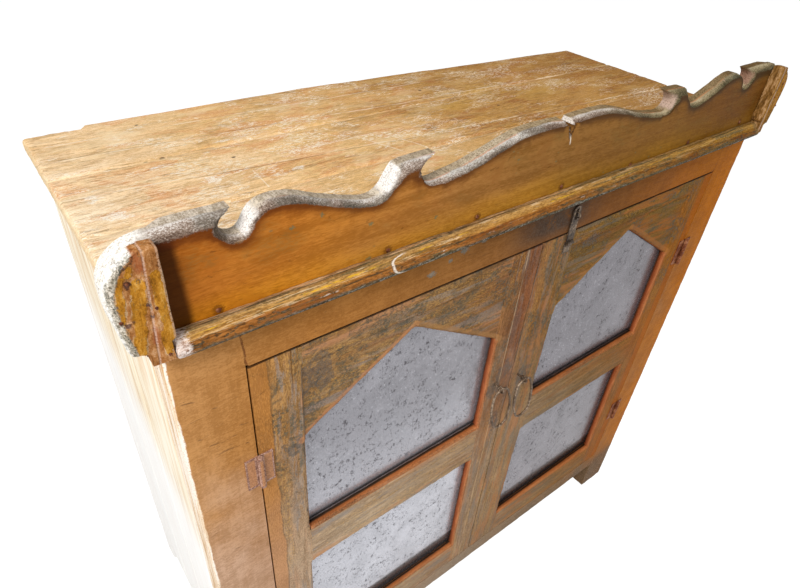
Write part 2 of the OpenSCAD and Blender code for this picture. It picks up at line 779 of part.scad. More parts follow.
// Staple on the front top rail that the hasp drops over
module staple_wire(r) {
  half = staple_span / 2;
  bend_y = face_y - staple_reach + half + staple_wire_r;
  for (s = [-1, 1])
    translate([hasp_x, bend_y, slot_mid_z + s * half]) rotate([-90, 0, 0])
      cylinder(r = r, h = face_y - bend_y + staple_leg_l, $fn = small_fn);
  translate([hasp_x, bend_y, slot_mid_z]) rotate([0, 90, 0]) rotate([0, 0, 180])
    rotate_extrude(angle = 180, $fn = round_fn) translate([half, 0]) circle(r = r, $fn = small_fn);
}
module hasp_staple() {
  color(wire_iron) union() staple_wire(staple_wire_r);
}

// Anchor of the hasp on the right door: two ears, a pin and two nails
module anchor_nails(r) {
  for (s = [-1, 1])
    translate([hasp_x + s * nail_spread / 2, face_y - leaf_t / 2, hasp_z - nail_drop])
      rotate([-90, 0, 0]) cylinder(r = r, h = staple_leg_l, $fn = small_fn);
}
module hasp_anchor() {
  half = hasp_knuckle_w / 2 + knuckle_gap;
  color(hinge_iron) union() {
    block([hasp_x - hasp_w / 2, face_y - leaf_t, hasp_z - anchor_h],
          [hasp_x + hasp_w / 2, face_y, hasp_z - hasp_knuckle_r - knuckle_gap]);
    for (s = [LEFT, RIGHT]) translate([hasp_x + s * (half + anchor_ear_w / 2), 0, hasp_z]) {
      translate([-anchor_ear_w / 2, hasp_y, 0]) rotate([0, 90, 0])
        cylinder(r = hasp_knuckle_r, h = anchor_ear_w, $fn = round_fn);
      translate([-anchor_ear_w / 2, hasp_y, -hasp_knuckle_r - 2])
        cube([anchor_ear_w, face_y - hasp_y, hasp_knuckle_r + 2]);
    }
    translate([hasp_x - half - 1, hasp_y, hasp_z]) rotate([0, 90, 0])
      cylinder(r = hasp_pin_r, h = 2 * half + 2, $fn = small_fn);
    anchor_nails(hasp_pin_r);
  }
}
// Strap with a knuckle at its foot and a slot at its head
module hasp() {
  strap_back = face_y - hasp_t;
  strap_front = strap_back - hasp_t;
  neck_z = hasp_z + hasp_knuckle_r + knuckle_gap;
  tip_z = hasp_z + hasp_l;
  color(hinge_iron) difference() {
    union() {
      block([hasp_x - hasp_w / 2, strap_front, neck_z],
            [hasp_x + hasp_w / 2, strap_back, tip_z - hasp_w / 2]);
      translate([hasp_x, strap_front, tip_z - hasp_w / 2]) rotate([-90, 0, 0])
        cylinder(r = hasp_w / 2, h = hasp_t, $fn = round_fn);
      block([hasp_x - hasp_knuckle_w / 2, strap_front, hasp_z],
            [hasp_x + hasp_knuckle_w / 2, strap_back, neck_z + 1]);
      translate([hasp_x - hasp_knuckle_w / 2, hasp_y, hasp_z]) rotate([0, 90, 0])
        cylinder(r = hasp_knuckle_r, h = hasp_knuckle_w, $fn = round_fn);
    }
    block([hasp_x - slot_w / 2, strap_front - 1, slot_mid_z - slot_h / 2],
          [hasp_x + slot_w / 2, strap_back + 1, slot_mid_z + slot_h / 2]);
    translate([hasp_x - hasp_knuckle_w, hasp_y, hasp_z]) rotate([0, 90, 0])
      cylinder(r = hasp_pin_r + pin_clearance, h = 2 * hasp_knuckle_w, $fn = small_fn);
  }
}

top_board_front();
top_board_middle();
top_board_rear();
front_stile_left();
front_stile_right();
rear_post_left();
rear_post_right();
front_top_rail();
front_bottom_rail();
rear_top_rail();
rear_bottom_rail();
side_top_rail_left();
side_top_rail_right();
side_bottom_rail_left();
side_bottom_rail_right();
side_boards_left();
side_boards_right();
back_boards();
bottom_board();
shelf();
shelf_cleats();
crest_board();
crest_moulding();
crest_end_left();
crest_end_right();
frame_hinge_leaves_left();
frame_hinge_leaves_right();
hinge_pins_left();
hinge_pins_right();
hasp_staple();
door_hinge_stile(LEFT);  // left_door_hinge_stile
door_lock_stile(LEFT);  // left_door_lock_stile
door_top_rail(LEFT);  // left_door_top_rail
door_middle_rail(LEFT);  // left_door_middle_rail
door_bottom_rail(LEFT);  // left_door_bottom_rail
door_outer_spandrel(LEFT);  // left_door_outer_spandrel
door_inner_spandrel(LEFT);  // left_door_inner_spandrel
door_upper_mirror(LEFT);  // left_door_upper_mirror
door_lower_mirror(LEFT);  // left_door_lower_mirror
door_backing(LEFT);  // left_door_backing
door_hinge_leaves(LEFT);  // left_door_hinge_leaves
ring_eye(LEFT);  // left_ring_eye
ring(LEFT);  // left_ring
door_hinge_stile(RIGHT);  // right_door_hinge_stile
door_lock_stile(RIGHT);  // right_door_lock_stile
door_top_rail(RIGHT);  // right_door_top_rail
door_middle_rail(RIGHT);  // right_door_middle_rail
door_bottom_rail(RIGHT);  // right_door_bottom_rail
door_outer_spandrel(RIGHT);  // right_door_outer_spandrel
door_inner_spandrel(RIGHT);  // right_door_inner_spandrel
door_upper_mirror(RIGHT);  // right_door_upper_mirror
door_lower_mirror(RIGHT);  // right_door_lower_mirror
door_backing(RIGHT);  // right_door_backing
door_hinge_leaves(RIGHT);  // right_door_hinge_leaves
ring_eye(RIGHT);  // right_ring_eye
ring(RIGHT);  // right_ring
hasp_anchor();
hasp();
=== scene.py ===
import json
import math

import bmesh
import bpy
import numpy as np
from mathutils import Matrix, Vector, geometry, kdtree
from mathutils.bvhtree import BVHTree


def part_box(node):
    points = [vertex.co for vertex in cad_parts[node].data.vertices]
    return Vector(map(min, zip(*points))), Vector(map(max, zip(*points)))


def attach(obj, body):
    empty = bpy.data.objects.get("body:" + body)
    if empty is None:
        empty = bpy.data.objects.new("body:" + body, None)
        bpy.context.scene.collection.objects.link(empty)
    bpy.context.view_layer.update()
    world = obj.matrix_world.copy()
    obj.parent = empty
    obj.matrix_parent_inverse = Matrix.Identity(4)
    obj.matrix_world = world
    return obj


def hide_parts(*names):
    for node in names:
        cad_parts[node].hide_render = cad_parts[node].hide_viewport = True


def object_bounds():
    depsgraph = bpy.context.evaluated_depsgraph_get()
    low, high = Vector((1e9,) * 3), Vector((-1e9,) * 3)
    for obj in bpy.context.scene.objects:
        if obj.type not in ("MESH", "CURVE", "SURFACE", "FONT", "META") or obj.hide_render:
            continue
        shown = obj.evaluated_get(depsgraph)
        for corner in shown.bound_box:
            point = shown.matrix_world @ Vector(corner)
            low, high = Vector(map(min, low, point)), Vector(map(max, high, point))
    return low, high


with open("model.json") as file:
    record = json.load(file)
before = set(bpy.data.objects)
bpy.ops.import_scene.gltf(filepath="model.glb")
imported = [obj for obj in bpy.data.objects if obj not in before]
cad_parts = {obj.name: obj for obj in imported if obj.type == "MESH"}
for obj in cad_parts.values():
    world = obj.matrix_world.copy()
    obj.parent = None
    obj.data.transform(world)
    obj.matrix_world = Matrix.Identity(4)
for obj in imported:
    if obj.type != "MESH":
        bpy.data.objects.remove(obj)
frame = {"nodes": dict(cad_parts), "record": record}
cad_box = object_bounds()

NODES = frame["nodes"]
RECORD = frame["record"]
scene = bpy.context.scene

# Camera
CAMERA_AT = (-0.5801, -0.632, 1.325)
LENS_MM = 26.55
right = Vector((0.7971, -0.6006, 0.0622)).normalized()
ahead = Vector((0.5072, 0.6102, -0.6086)).normalized()
up = right.cross(ahead)
turn = Matrix((right, up, -ahead)).transposed()
camera = bpy.data.objects.new("camera", bpy.data.cameras.new("camera"))
camera.data.lens = LENS_MM
camera.data.sensor_width = 36
camera.data.clip_start = 0.05
camera.matrix_world = Matrix.Translation(CAMERA_AT) @ turn.to_4x4()
scene.collection.objects.link(camera)
scene.camera = camera


# Material helper
def rgb(r, g, b):
    """A colour as seen on a screen, 0 to 255, for a shader."""
    return tuple(
        v / 12.92 if v <= 0.04045 else ((v + 0.055) / 1.055) ** 2.4
        for v in (r / 255, g / 255, b / 255)
    ) + (1,)


def grey(v):
    return (v, v, v, 1)


class Value:
    """A socket of a material, which takes part in sums and products."""

    def __init__(self, material, socket):
        self.material = material
        self.socket = socket

    def __add__(self, other):
        return self.material.math("ADD", self, other)

    def __sub__(self, other):
        return self.material.math("SUBTRACT", self, other)

    def __rsub__(self, other):
        return self.material.math("SUBTRACT", other, self)

    def __mul__(self, other):
        return self.material.math("MULTIPLY", self, other)

    def __neg__(self):
        return self * -1.0

    def __abs__(self):
        return self.material.math("ABSOLUTE", self)

    __radd__ = __add__
    __rmul__ = __mul__


class Mat:
    """Builds one node material; most calls return a Value. Marks and distances are in mm.

    The marks lie in the plane of x and z, or of x and the axis named by plane."""

    def __init__(self, name, plane="z"):
        self.material = bpy.data.materials.new(name)
        self.material.use_nodes = True
        self.tree = self.material.node_tree
        self.tree.nodes.clear()
        self.out = self.new("OutputMaterial")
        self.shader = self.new("BsdfPrincipled")
        self.tree.links.new(self.shader.outputs[0], self.out.inputs[0])
        place = self.new("TexCoord")
        self.at = place.outputs["Object"]
        self.x, self.y, self.z = self.split(self.at)
        self.nx, self.ny, self.nz = self.split(place.outputs["Normal"])
        self.across_mm = self.x * 1000.0
        self.up_mm = (self.y if plane == "y" else self.z) * 1000.0

    def new(self, kind, **settings):
        made = self.tree.nodes.new("ShaderNode" + kind)
        for key, value in settings.items():
            setattr(made, key, value)
        return made

    def put(self, socket, value):
        if isinstance(value, Value):
            value = value.socket
        if isinstance(value, bpy.types.NodeSocket):
            self.tree.links.new(value, socket)
        elif isinstance(value, (int, float)) and hasattr(socket.default_value, "__len__"):
            socket.default_value = (value, value, value, 1)[: len(socket.default_value)]
        else:
            socket.default_value = value

    def split(self, vector):
        made = self.new("SeparateXYZ")
        self.put(made.inputs[0], vector)
        return [Value(self, o) for o in made.outputs]

    def math(self, kind, a, b=0.0, c=0.0):
        made = self.new("Math", operation=kind)
        for socket, value in zip(made.inputs, (a, b, c)):
            self.put(socket, value)
        return Value(self, made.outputs[0])

    def most(self, *values):
        total = values[0]
        for v in values[1:]:
            total = self.math("MAXIMUM", total, v)
        return total

    def step(self, value, low, high):
        """0 at low and 1 at high, smooth between; low may be above high."""
        made = self.new("MapRange", interpolation_type="SMOOTHSTEP")
        flip = low > high
        self.put(made.inputs["Value"], value)
        self.put(made.inputs["From Min"], high if flip else low)
        self.put(made.inputs["From Max"], low if flip else high)
        self.put(made.inputs["To Min"], 1.0 if flip else 0.0)
        self.put(made.inputs["To Max"], 0.0 if flip else 1.0)
        return Value(self, made.outputs[0])

    def place(self, stretch=(1, 1, 1), shift=(0, 0, 0)):
        made = self.new("Mapping")
        self.put(made.inputs["Vector"], self.at)
        made.inputs["Location"].default_value = shift
        made.inputs["Scale"].default_value = stretch
        return Value(self, made.outputs[0])

    def noise(self, scale, stretch=(1, 1, 1), detail=3.0, rough=0.55, bend=0.0, shift=(0, 0, 0)):
        made = self.new("TexNoise", noise_dimensions="3D")
        self.put(made.inputs["Vector"], self.place(stretch, shift))
        made.inputs["Scale"].default_value = scale
        made.inputs["Detail"].default_value = detail
        made.inputs["Roughness"].default_value = rough
        made.inputs["Distortion"].default_value = bend
        return Value(self, made.outputs[0])

    def cells(self, scale, stretch=(1, 1, 1), shift=(0, 0, 0)):
        made = self.new("TexVoronoi")
        self.put(made.inputs["Vector"], self.place(stretch, shift))
        made.inputs["Scale"].default_value = scale
        return Value(self, made.outputs[0])

    def ramp(self, value, *stops):
        made = self.new("ValToRGB")
        line = made.color_ramp
        while len(line.elements) < len(stops):
            line.elements.new(0.5)
        for element, (spot, colour) in zip(line.elements, stops):
            element.position = spot
            element.color = colour if len(colour) == 4 else rgb(*colour)
        self.put(made.inputs[0], value)
        return Value(self, made.outputs[0])

    def mix(self, amount, a, b):
        made = self.new("Mix", data_type="RGBA", clamp_factor=True)
        self.put(made.inputs[0], amount)
        for socket, value in ((made.inputs[6], a), (made.inputs[7], b)):
            if isinstance(value, tuple) and len(value) == 3:
                value = rgb(*value)
            self.put(socket, value)
        return Value(self, made.outputs[2])

    def across(self, drift, *stops):
        """Colour that changes along the width; each stop is (x in mm, colour)."""
        where = self.x * (1 / 1.08) + 0.5 + drift
        return self.ramp(where, *((x / 1080 + 0.5, c) for x, c in stops))

    def vary(self, colour, tone, dark, light, low=0.42, high=0.58):
        """Multiplies a colour, by dark where tone is low and by light where it is high."""
        made = self.new("Mix", data_type="RGBA", blend_type="MULTIPLY", clamp_result=True)
        made.inputs[0].default_value = 1.0
        self.put(made.inputs[6], rgb(*colour) if isinstance(colour, tuple) else colour)
        self.put(made.inputs[7], self.mix(self.step(tone, low, high), dark + (1,), light + (1,)))
        return Value(self, made.outputs[2])

    def stroke(self, x0, z0, x1, z1):
        """Way along a stroke from its middle, way aside from it, and half its length."""
        length = math.hypot(x1 - x0, z1 - z0)
        ux, uz = (x1 - x0) / length, (z1 - z0) / length
        dx, dz = self.across_mm - x0, self.up_mm - z0
        return abs(dx * ux + dz * uz - length / 2), dz * ux - dx * uz, length / 2

    def far(self, a, b):
        return self.math("SQRT", a * a + b * b)

    def bar(self, x0, z0, x1, z1):
        """Distance from a stroke with round ends."""
        along, aside, half = self.stroke(x0, z0, x1, z1)
        return self.far(aside, self.most(along - half, 0.0))

    def away(self, cx, cz, squash=1.0):
        """Distance from a point, counted squash times across the height."""
        return self.far(self.across_mm - cx, (self.up_mm - cz) * squash)

    def attribute(self, name):
        return Value(self, self.new("Attribute", attribute_name=name).outputs["Fac"])

    def spots(self, places, wobble):
        """Round marks, each (x, z, radius, squash)."""
        marks = []
        for cx, cz, r, squash in places:
            marks.append(self.step(self.away(cx, cz, squash) + wobble * r, r * 1.25, r * 0.75))
        return self.most(*marks)

    def lines(self, places, wobble):
        """Straight marks, each (x0, z0, x1, z1, width), which fade out over 4 mm at their ends."""
        marks = []
        for x0, z0, x1, z1, width in places:
            along, aside, half = self.stroke(x0, z0, x1, z1)
            inside = self.step(abs(aside + wobble), width, width * 0.4)
            marks.append(inside * self.step(along, half, half - 4))
        return self.most(*marks)

    def bump(self, height, depth, strength=1.0):
        made = self.new("Bump")
        made.inputs["Strength"].default_value = strength
        made.inputs["Distance"].default_value = depth
        self.put(made.inputs["Height"], height)
        if self.shader.inputs["Normal"].is_linked:
            self.tree.links.new(self.shader.inputs["Normal"].links[0].from_socket, made.inputs["Normal"])
        self.tree.links.new(made.outputs[0], self.shader.inputs["Normal"])

    def done(self, colour, rough, metal=0.0, specular=0.3):
        self.put(self.shader.inputs["Base Color"], colour)
        self.put(self.shader.inputs["Roughness"], rough)
        self.put(self.shader.inputs["Metallic"], metal)
        self.shader.inputs["Specular IOR Level"].default_value = specular
        return self.material


# Materials
def top_wood():
    m = Mat("weathered_top", plane="y")
    wobble = (m.noise(14, (1, 0.3, 1), 3) - 0.5) * 9.0
    streak = m.noise(260, (0.10, 1, 1), 4, 0.7, 0.8)
    fibre = m.noise(850, (0.16, 1, 1), 3, 0.7, 0.3)
    grit = m.noise(900, (0.6, 1, 1), 3, 0.75)
    broad = m.noise(40, (0.2, 1, 1), 4, 0.65, 0.8)
    patch = m.noise(9, (0.5, 1, 1), 3, 0.6, 0.6)
    blotch = m.noise(30, (0.42, 1, 1), 4, 0.7, 0.8, shift=(3, 1, 0))
    tone = streak * 0.28 + fibre * 0.3 + grit * 0.24 + broad * 0.18
    drift = m.y * 0.35 + (patch - 0.5) * 0.5 - 0.03
    # Paler towards the left: partly the wood's own tone, partly painted light, as the light falls
    # strongest on the left of the top. The blend below, from 0 at the left to 1 at the right, makes the
    # stains, sand, flecks and worn edges paler at the left in the same way.
    colour = m.across(
        drift, (-530, (252, 224, 186)), (-440, (246, 212, 166)), (-265, (236, 194, 132)),
        (-90, (222, 176, 112)), (100, (202, 154, 84)), (290, (190, 140, 70)), (500, (176, 126, 56))
    )
    rightward = m.step(m.x + (patch - 0.5) * 1.0, -0.3, 0.4)
    colour = m.vary(colour, tone, (0.76, 0.69, 0.57), (1.12, 1.13, 1.17), 0.43, 0.57)
    stain = m.step(blotch, 0.49, 0.6) * m.step(tone, 0.56, 0.46)
    colour = m.mix(stain * 0.62, colour, m.mix(rightward, (222, 148, 92), (160, 96, 38)))
    sandy = m.step(m.noise(26, (0.4, 1, 1), 4, 0.7, 0.6, shift=(7, 4, 0)), 0.5, 0.62) * 0.35
    colour = m.mix(sandy, colour, m.mix(rightward, (250, 226, 182), (214, 176, 112)))
    field = m.step(m.noise(20, (0.5, 1, 1), 4, 0.75, 0.6, shift=(9, 2, 0)), 0.49, 0.60)
    specks = m.step(
        fibre * 0.35 + m.noise(420, (0.4, 1, 1), 3, 0.75, shift=(1, 0, 0)) * 0.4 + grit * 0.25, 0.495,
        0.545
    )
    pale = specks * (0.12 + field * 0.88)
    colour = m.mix(pale * (0.9 - rightward * 0.3), colour, (255, 244, 222))
    dark = (
        m.step(m.noise(480, (0.08, 1, 1), 3, 0.65, 0.4, shift=(0, 5, 0)), 0.56, 0.63)
        * m.step(patch, 0.4, 0.56)
    )
    colour = m.mix(dark * 0.45, colour, m.mix(rightward, (160, 112, 66), (92, 58, 24)))
    ragged = m.noise(90, (0.5, 1, 1), 4, 0.75) - 0.5
    fuzz = m.step(fibre * 0.5 + grit * 0.5, 0.42, 0.54)
    white = m.spots(
        (
            (-483, 29, 9, 1.6), (-474, -22, 14, 2), (-376, 51, 10, 2.2), (-402, 74, 6, 2),
            (-455, 96, 8, 2.5), (-352, 12, 10, 2), (-440, -60, 12, 2.4), (-248, -12, 9, 2),
            (-300, 110, 8, 3)
        ),
        ragged * 7.0
    )
    colour = m.mix(white * fuzz * 0.85, colour, (255, 247, 232))
    gold = m.spots(((185, 100, 40, 1.5), (262, 40, 46, 1.6), (90, 60, 34, 2)), ragged * 4.0)
    colour = m.mix(gold * 0.35, colour, (206, 160, 74))
    seams = m.lines(
        (
            (-520, 148, 30, 112, 2.0), (30, 112, 540, 92, 1.8), (-520, 42, -45, -6, 2.2),
            (-45, -6, 540, -52, 1.8), (-500, 196, 300, 176, 1.6)
        ),
        wobble
    )
    broken = m.step(m.noise(40, (0.6, 1, 1), 3, 0.7, shift=(2, 0, 0)), 0.42, 0.56)
    colour = m.mix(seams * (0.1 + broken * 0.5), colour, (252, 236, 208))
    shade = m.lines(
        (
            (-520, 151, 30, 115, 1.4), (30, 115, 540, 95, 1.4), (-520, 39, -45, -9, 1.4),
            (-45, -9, 540, -55, 1.4)
        ),
        wobble
    )
    colour = m.mix(shade * (1 - broken) * 0.5, colour, (134, 92, 50))
    cracks = m.lines(
        (
            (-222, 33, -90, 33, 1.6), (-90, 33, -57, -58, 1.6), (-302, 10, -304, -42, 1.2),
            (-128, 30, -100, -40, 1.4)
        ),
        wobble * 0.5
    )
    colour = m.mix(cracks * (0.25 + fuzz * 0.5), colour, (255, 240, 214))
    knots = m.spots(
        (
            (-378, 215, 2.6, 1.6), (-405, 97, 4.5, 1.6), (-383, 99, 3.5, 1.6), (-306, 55, 2.8, 1.2),
            (77, 148, 2.8, 1.2), (150, 30, 2.4, 1.3)
        ),
        ragged * 1.5
    )
    colour = m.mix(knots * 0.8, colour, (96, 70, 46))
    joint = None
    for y in JOINTS:
        line = m.step(abs(m.y * 1000.0 - y * 1000), 1.2, 0.3)
        joint = line if joint is None else m.most(joint, line)
    colour = m.mix(joint * 0.5, colour, (110, 78, 48))
    side_face = m.step(abs(m.nz), 0.8, 0.5)
    colour = m.mix(side_face * 0.5, colour, (238, 210, 164))
    worn = m.step(m.attribute("edge") + m.noise(70, detail=3) * 6, 6.0, 3.4)
    colour = m.mix(worn * (0.5 - rightward * 0.35), colour, (252, 234, 198))
    m.bump(streak * 0.5 + fibre * 0.5 + grit * 0.3 + dark * -0.3 + knots * -0.5, 0.0022, 0.85)
    return m.done(colour, m.ramp(tone, (0.4, grey(0.6)), (0.58, grey(0.85))), specular=0.08)


def crest_paint():
    m = Mat("crest_ochre")
    grain = m.noise(120, (0.07, 1, 1), 4, 0.65, 0.5)
    fine = m.noise(640, (0.2, 1, 1), 3, 0.7)
    cloud = m.noise(10, (0.6, 1, 1), 4, 0.6, 0.6)
    blotch = m.noise(34, (0.7, 1, 1), 4, 0.65, 0.5, shift=(2, 7, 1))
    chips = m.noise(560, detail=4, rough=0.75)
    drift = (cloud - 0.5) * 0.25
    # Paler at the left and darker to the right, here and in the lower colour: partly the paint's own
    # tone, partly painted light falling from the left.
    colour = m.across(
        drift, (-480, (174, 100, 32)), (-345, (182, 116, 44)), (-182, (158, 108, 54)),
        (-27, (138, 96, 46)), (223, (124, 84, 34)), (360, (112, 72, 26)), (490, (104, 66, 24))
    )
    foot = m.across(
        drift, (-480, (202, 128, 22)), (-250, (192, 132, 40)), (0, (162, 116, 34)), (300, (134, 94, 28)),
        (490, (118, 80, 26))
    )
    low = m.step(m.z + (cloud - 0.5) * 0.06, 1.022, 0.984)
    colour = m.mix(low * 0.75, colour, foot)
    colour = m.vary(
        colour, grain * 0.35 + blotch * 0.3 + fine * 0.35, (0.78, 0.72, 0.58), (1.16, 1.18, 1.26)
    )
    colour = m.mix(
        m.step(blotch, 0.52, 0.64) * 0.3, colour,
        m.across(0.0, (-400, (140, 72, 16)), (200, (98, 62, 24)))
    )
    green = (
        m.step(m.noise(18, (0.6, 1, 1), 4, 0.7, shift=(1, 3, 6)), 0.5, 0.62) * m.step(fine, 0.42, 0.56)
        * m.step(m.z, 1.0, 1.03)
    )
    colour = m.mix(green * 0.35, colour, (96, 84, 44))
    rim = m.attribute("rim")
    # Painted shade on the face below the worn outline, fading away from the outline.
    shade = m.step(rim + (blotch - 0.5) * 30 + (chips - 0.5) * 6, 24, 5)
    colour = m.mix(
        shade * 0.62, colour, m.across(0.0, (-400, (112, 54, 16)), (0, (88, 56, 28)), (400, (70, 50, 28)))
    )
    # Painted shadow cast by the left end block on the face beside it, widening downwards.
    ends = m.step(-m.x + (cloud - 0.5) * 0.008 + (m.z - 1.02) * -0.05, 0.47, 0.478)
    colour = m.mix(ends * 0.86, colour, (54, 24, 6))
    speck = (
        m.step(m.cells(150, (0.6, 1, 1)), 0.24, 0.1)
        * m.step(m.noise(20, detail=2, shift=(4, 4, 4)), 0.6, 0.68)
    )
    marks = m.spots(
        (
            (-289, 986, 3.2, 1.5), (-288, 1027, 2.2, 1), (-373, 1049, 2.6, 1.6), (-203, 1009, 2, 1),
            (-343, 1053, 2, 1)
        ),
        (chips - 0.5) * 5.0
    )
    colour = m.mix(m.most(speck, marks) * 0.6, colour, (84, 108, 82))
    scuff = (
        m.step(m.noise(150, (0.35, 1, 1), 4, 0.7, 0.6, shift=(6, 2, 5)), 0.6, 0.68)
        * m.step(blotch, 0.45, 0.6)
    )
    colour = m.mix(scuff * 0.5, colour, (84, 50, 20))
    rust = m.spots(tuple(((x, z, 5.5, 1) for x, z in CREST_NAILS)), (chips - 0.5) * 2.0)
    colour = m.mix(rust * 0.55, colour, (78, 38, 14))
    split = m.lines(((0.5, 1062, 3, 1046, 1.2),), (chips - 0.5) * 3.0)
    colour = m.mix(split * 0.8, colour, (226, 214, 196))
    # worn front corner of the outline, 10 mm deep, and the bare thickness behind it
    rough_line = (chips - 0.5) * 5 + (m.noise(32, detail=3) - 0.5) * 4
    depth = (m.y - crest_front) * 1000.0 + (chips - 0.5) * 4 + (m.noise(40, (1, 0, 1), 2) - 0.5) * 5
    high = m.step(m.z, 0.985, 0.995)
    outer = m.step(rim + rough_line, 6.2, 4.4) * high
    # The band grows paler towards its back, where it turns up to the top: painted light from above, added
    # to the worn, dirty paint.
    top_light = m.step(depth, -1.0, 10.0)
    crumb = m.noise(950, (0.6, 1, 1), 3, 0.7, shift=(3, 3, 3))
    soot = (
        crumb * 0.45 + chips * 0.2 + m.noise(70, (0.3, 1, 1), 3, 0.6, shift=(5, 1, 2)) * 0.35 + top_light
        * 0.15
    )
    dirt = m.ramp(
        soot, (0.4, (58, 38, 30)), (0.47, (88, 68, 56)), (0.53, (124, 104, 90)), (0.6, (166, 148, 134)),
        (0.68, (226, 218, 210))
    )
    olive = m.ramp(
        soot, (0.4, (40, 34, 22)), (0.47, (66, 60, 42)), (0.54, (100, 90, 66)), (0.62, (140, 124, 92)),
        (0.7, (190, 174, 140))
    )
    dirt = m.mix(m.step(m.x + (cloud - 0.5) * 0.5, -0.05, 0.2), dirt, olive)
    dirt = m.mix(m.step(m.noise(16, detail=2, shift=(8, 0, 3)), 0.5, 0.62) * 0.3, dirt, (78, 96, 90))
    # A narrower, darker painted shade right under the worn band.
    under = m.step(rim + (blotch - 0.5) * 8 + (chips - 0.5) * 4, 15, 6) * high
    colour = m.mix(
        under * 0.6, colour, m.across(0.0, (-400, (82, 36, 12)), (0, (62, 38, 20)), (400, (48, 36, 22)))
    )
    colour = m.mix(outer, colour, dirt)
    notch = (
        m.step(m.noise(30, detail=2, shift=(0, 0, 7)), 0.46, 0.56)
        * m.step(abs(abs(m.x) - 0.4225), 0.014, 0.011) * m.step(m.z, 1.052, 1.046)
        * m.step(chips, 0.42, 0.5) * outer
    )
    colour = m.mix(notch * 0.75, colour, (206, 144, 28))
    wall = m.step(rim, 7.0, 4.0) * m.step(depth, 9.0, 12.0) * high
    stripe = m.noise(220, (1, 0.3, 1), 4, 0.7) * 0.5 + chips * 0.5
    # The bare wood is paler towards the left: partly its own tone, partly painted light falling from the
    # left.
    bare = m.across(
        drift, (-480, (206, 192, 174)), (-400, (190, 174, 152)), (-250, (180, 164, 142)),
        (-60, (168, 146, 112)), (150, (138, 114, 78)), (400, (120, 96, 62))
    )
    bare = m.vary(bare, stripe, (0.58, 0.54, 0.48), (1.22, 1.24, 1.28), 0.42, 0.58)
    colour = m.mix(wall, colour, bare)
    # Painted light by facing: pale on faces turned a little to the left, near white on faces turned
    # further left, and painted shade on faces turned to the right.
    zone = m.step(rim, 8.0, 5.0) * high
    soft_painted_light = m.step(m.nx, -0.14, -0.36) * zone * m.step(depth, 5.0, 9.0) * m.step(chips, 0.42, 0.52)
    colour = m.mix(soft_painted_light * 0.6, colour, m.across(0.0, (-100, (226, 212, 190)), (300, (168, 144, 108))))
    lit = m.step(m.nx + (chips - 0.5) * 0.9, -0.45, -0.72) * zone * m.step(depth, 1.0, 5.0)
    sunny = m.across(
        0.0, (-150, (246, 240, 234)), (60, (222, 210, 198)), (250, (190, 160, 142)),
        (420, (156, 120, 100))
    )
    colour = m.mix(
        lit * 0.92, colour,
        m.vary(sunny, chips * 0.6 + fine * 0.4, (0.52, 0.48, 0.44), (1.04, 1.04, 1.04), 0.4, 0.52)
    )
    shadow = m.step(m.nx, 0.35, 0.7) * zone
    colour = m.mix(shadow * 0.7, colour, m.ramp(chips, (0.4, (50, 38, 30)), (0.6, (112, 94, 74))))
    # Painted sunlight: the bare outer wall of the board's left end, near white.
    sunlit_left_end = m.step(-m.x - (chips - 0.5) * 0.03, 0.49, 0.502) * m.step(abs(m.ny), 0.95, 0.7)
    colour = m.mix(
        sunlit_left_end, colour,
        m.ramp(
            chips * 0.6 + fine * 0.4, (0.36, (150, 138, 124)), (0.44, (214, 206, 194)),
            (0.5, (242, 237, 228)), (0.56, (252, 249, 244))
        )
    )
    line = (
        m.step(abs(depth - 10.0), 1.5, 0.6) * m.step(rim, 7.0, 4.0) * high
        * m.step(m.noise(13, detail=2, shift=(7, 0, 0)), 0.48, 0.55) * m.step(m.nz, 0.5, 0.75)
        * m.step(abs(m.x), 0.42, 0.36)
    )
    colour = m.mix(line * 0.5, colour, (200, 124, 74))
    m.bump(outer * -0.2 + chips * (outer * 0.8 + 0.08) + grain * 0.2 + fine * 0.12, 0.0018, 0.8)
    return m.done(colour, m.mix(outer, m.mix(blotch, grey(0.36), grey(0.6)), grey(0.85)), specular=0.03)


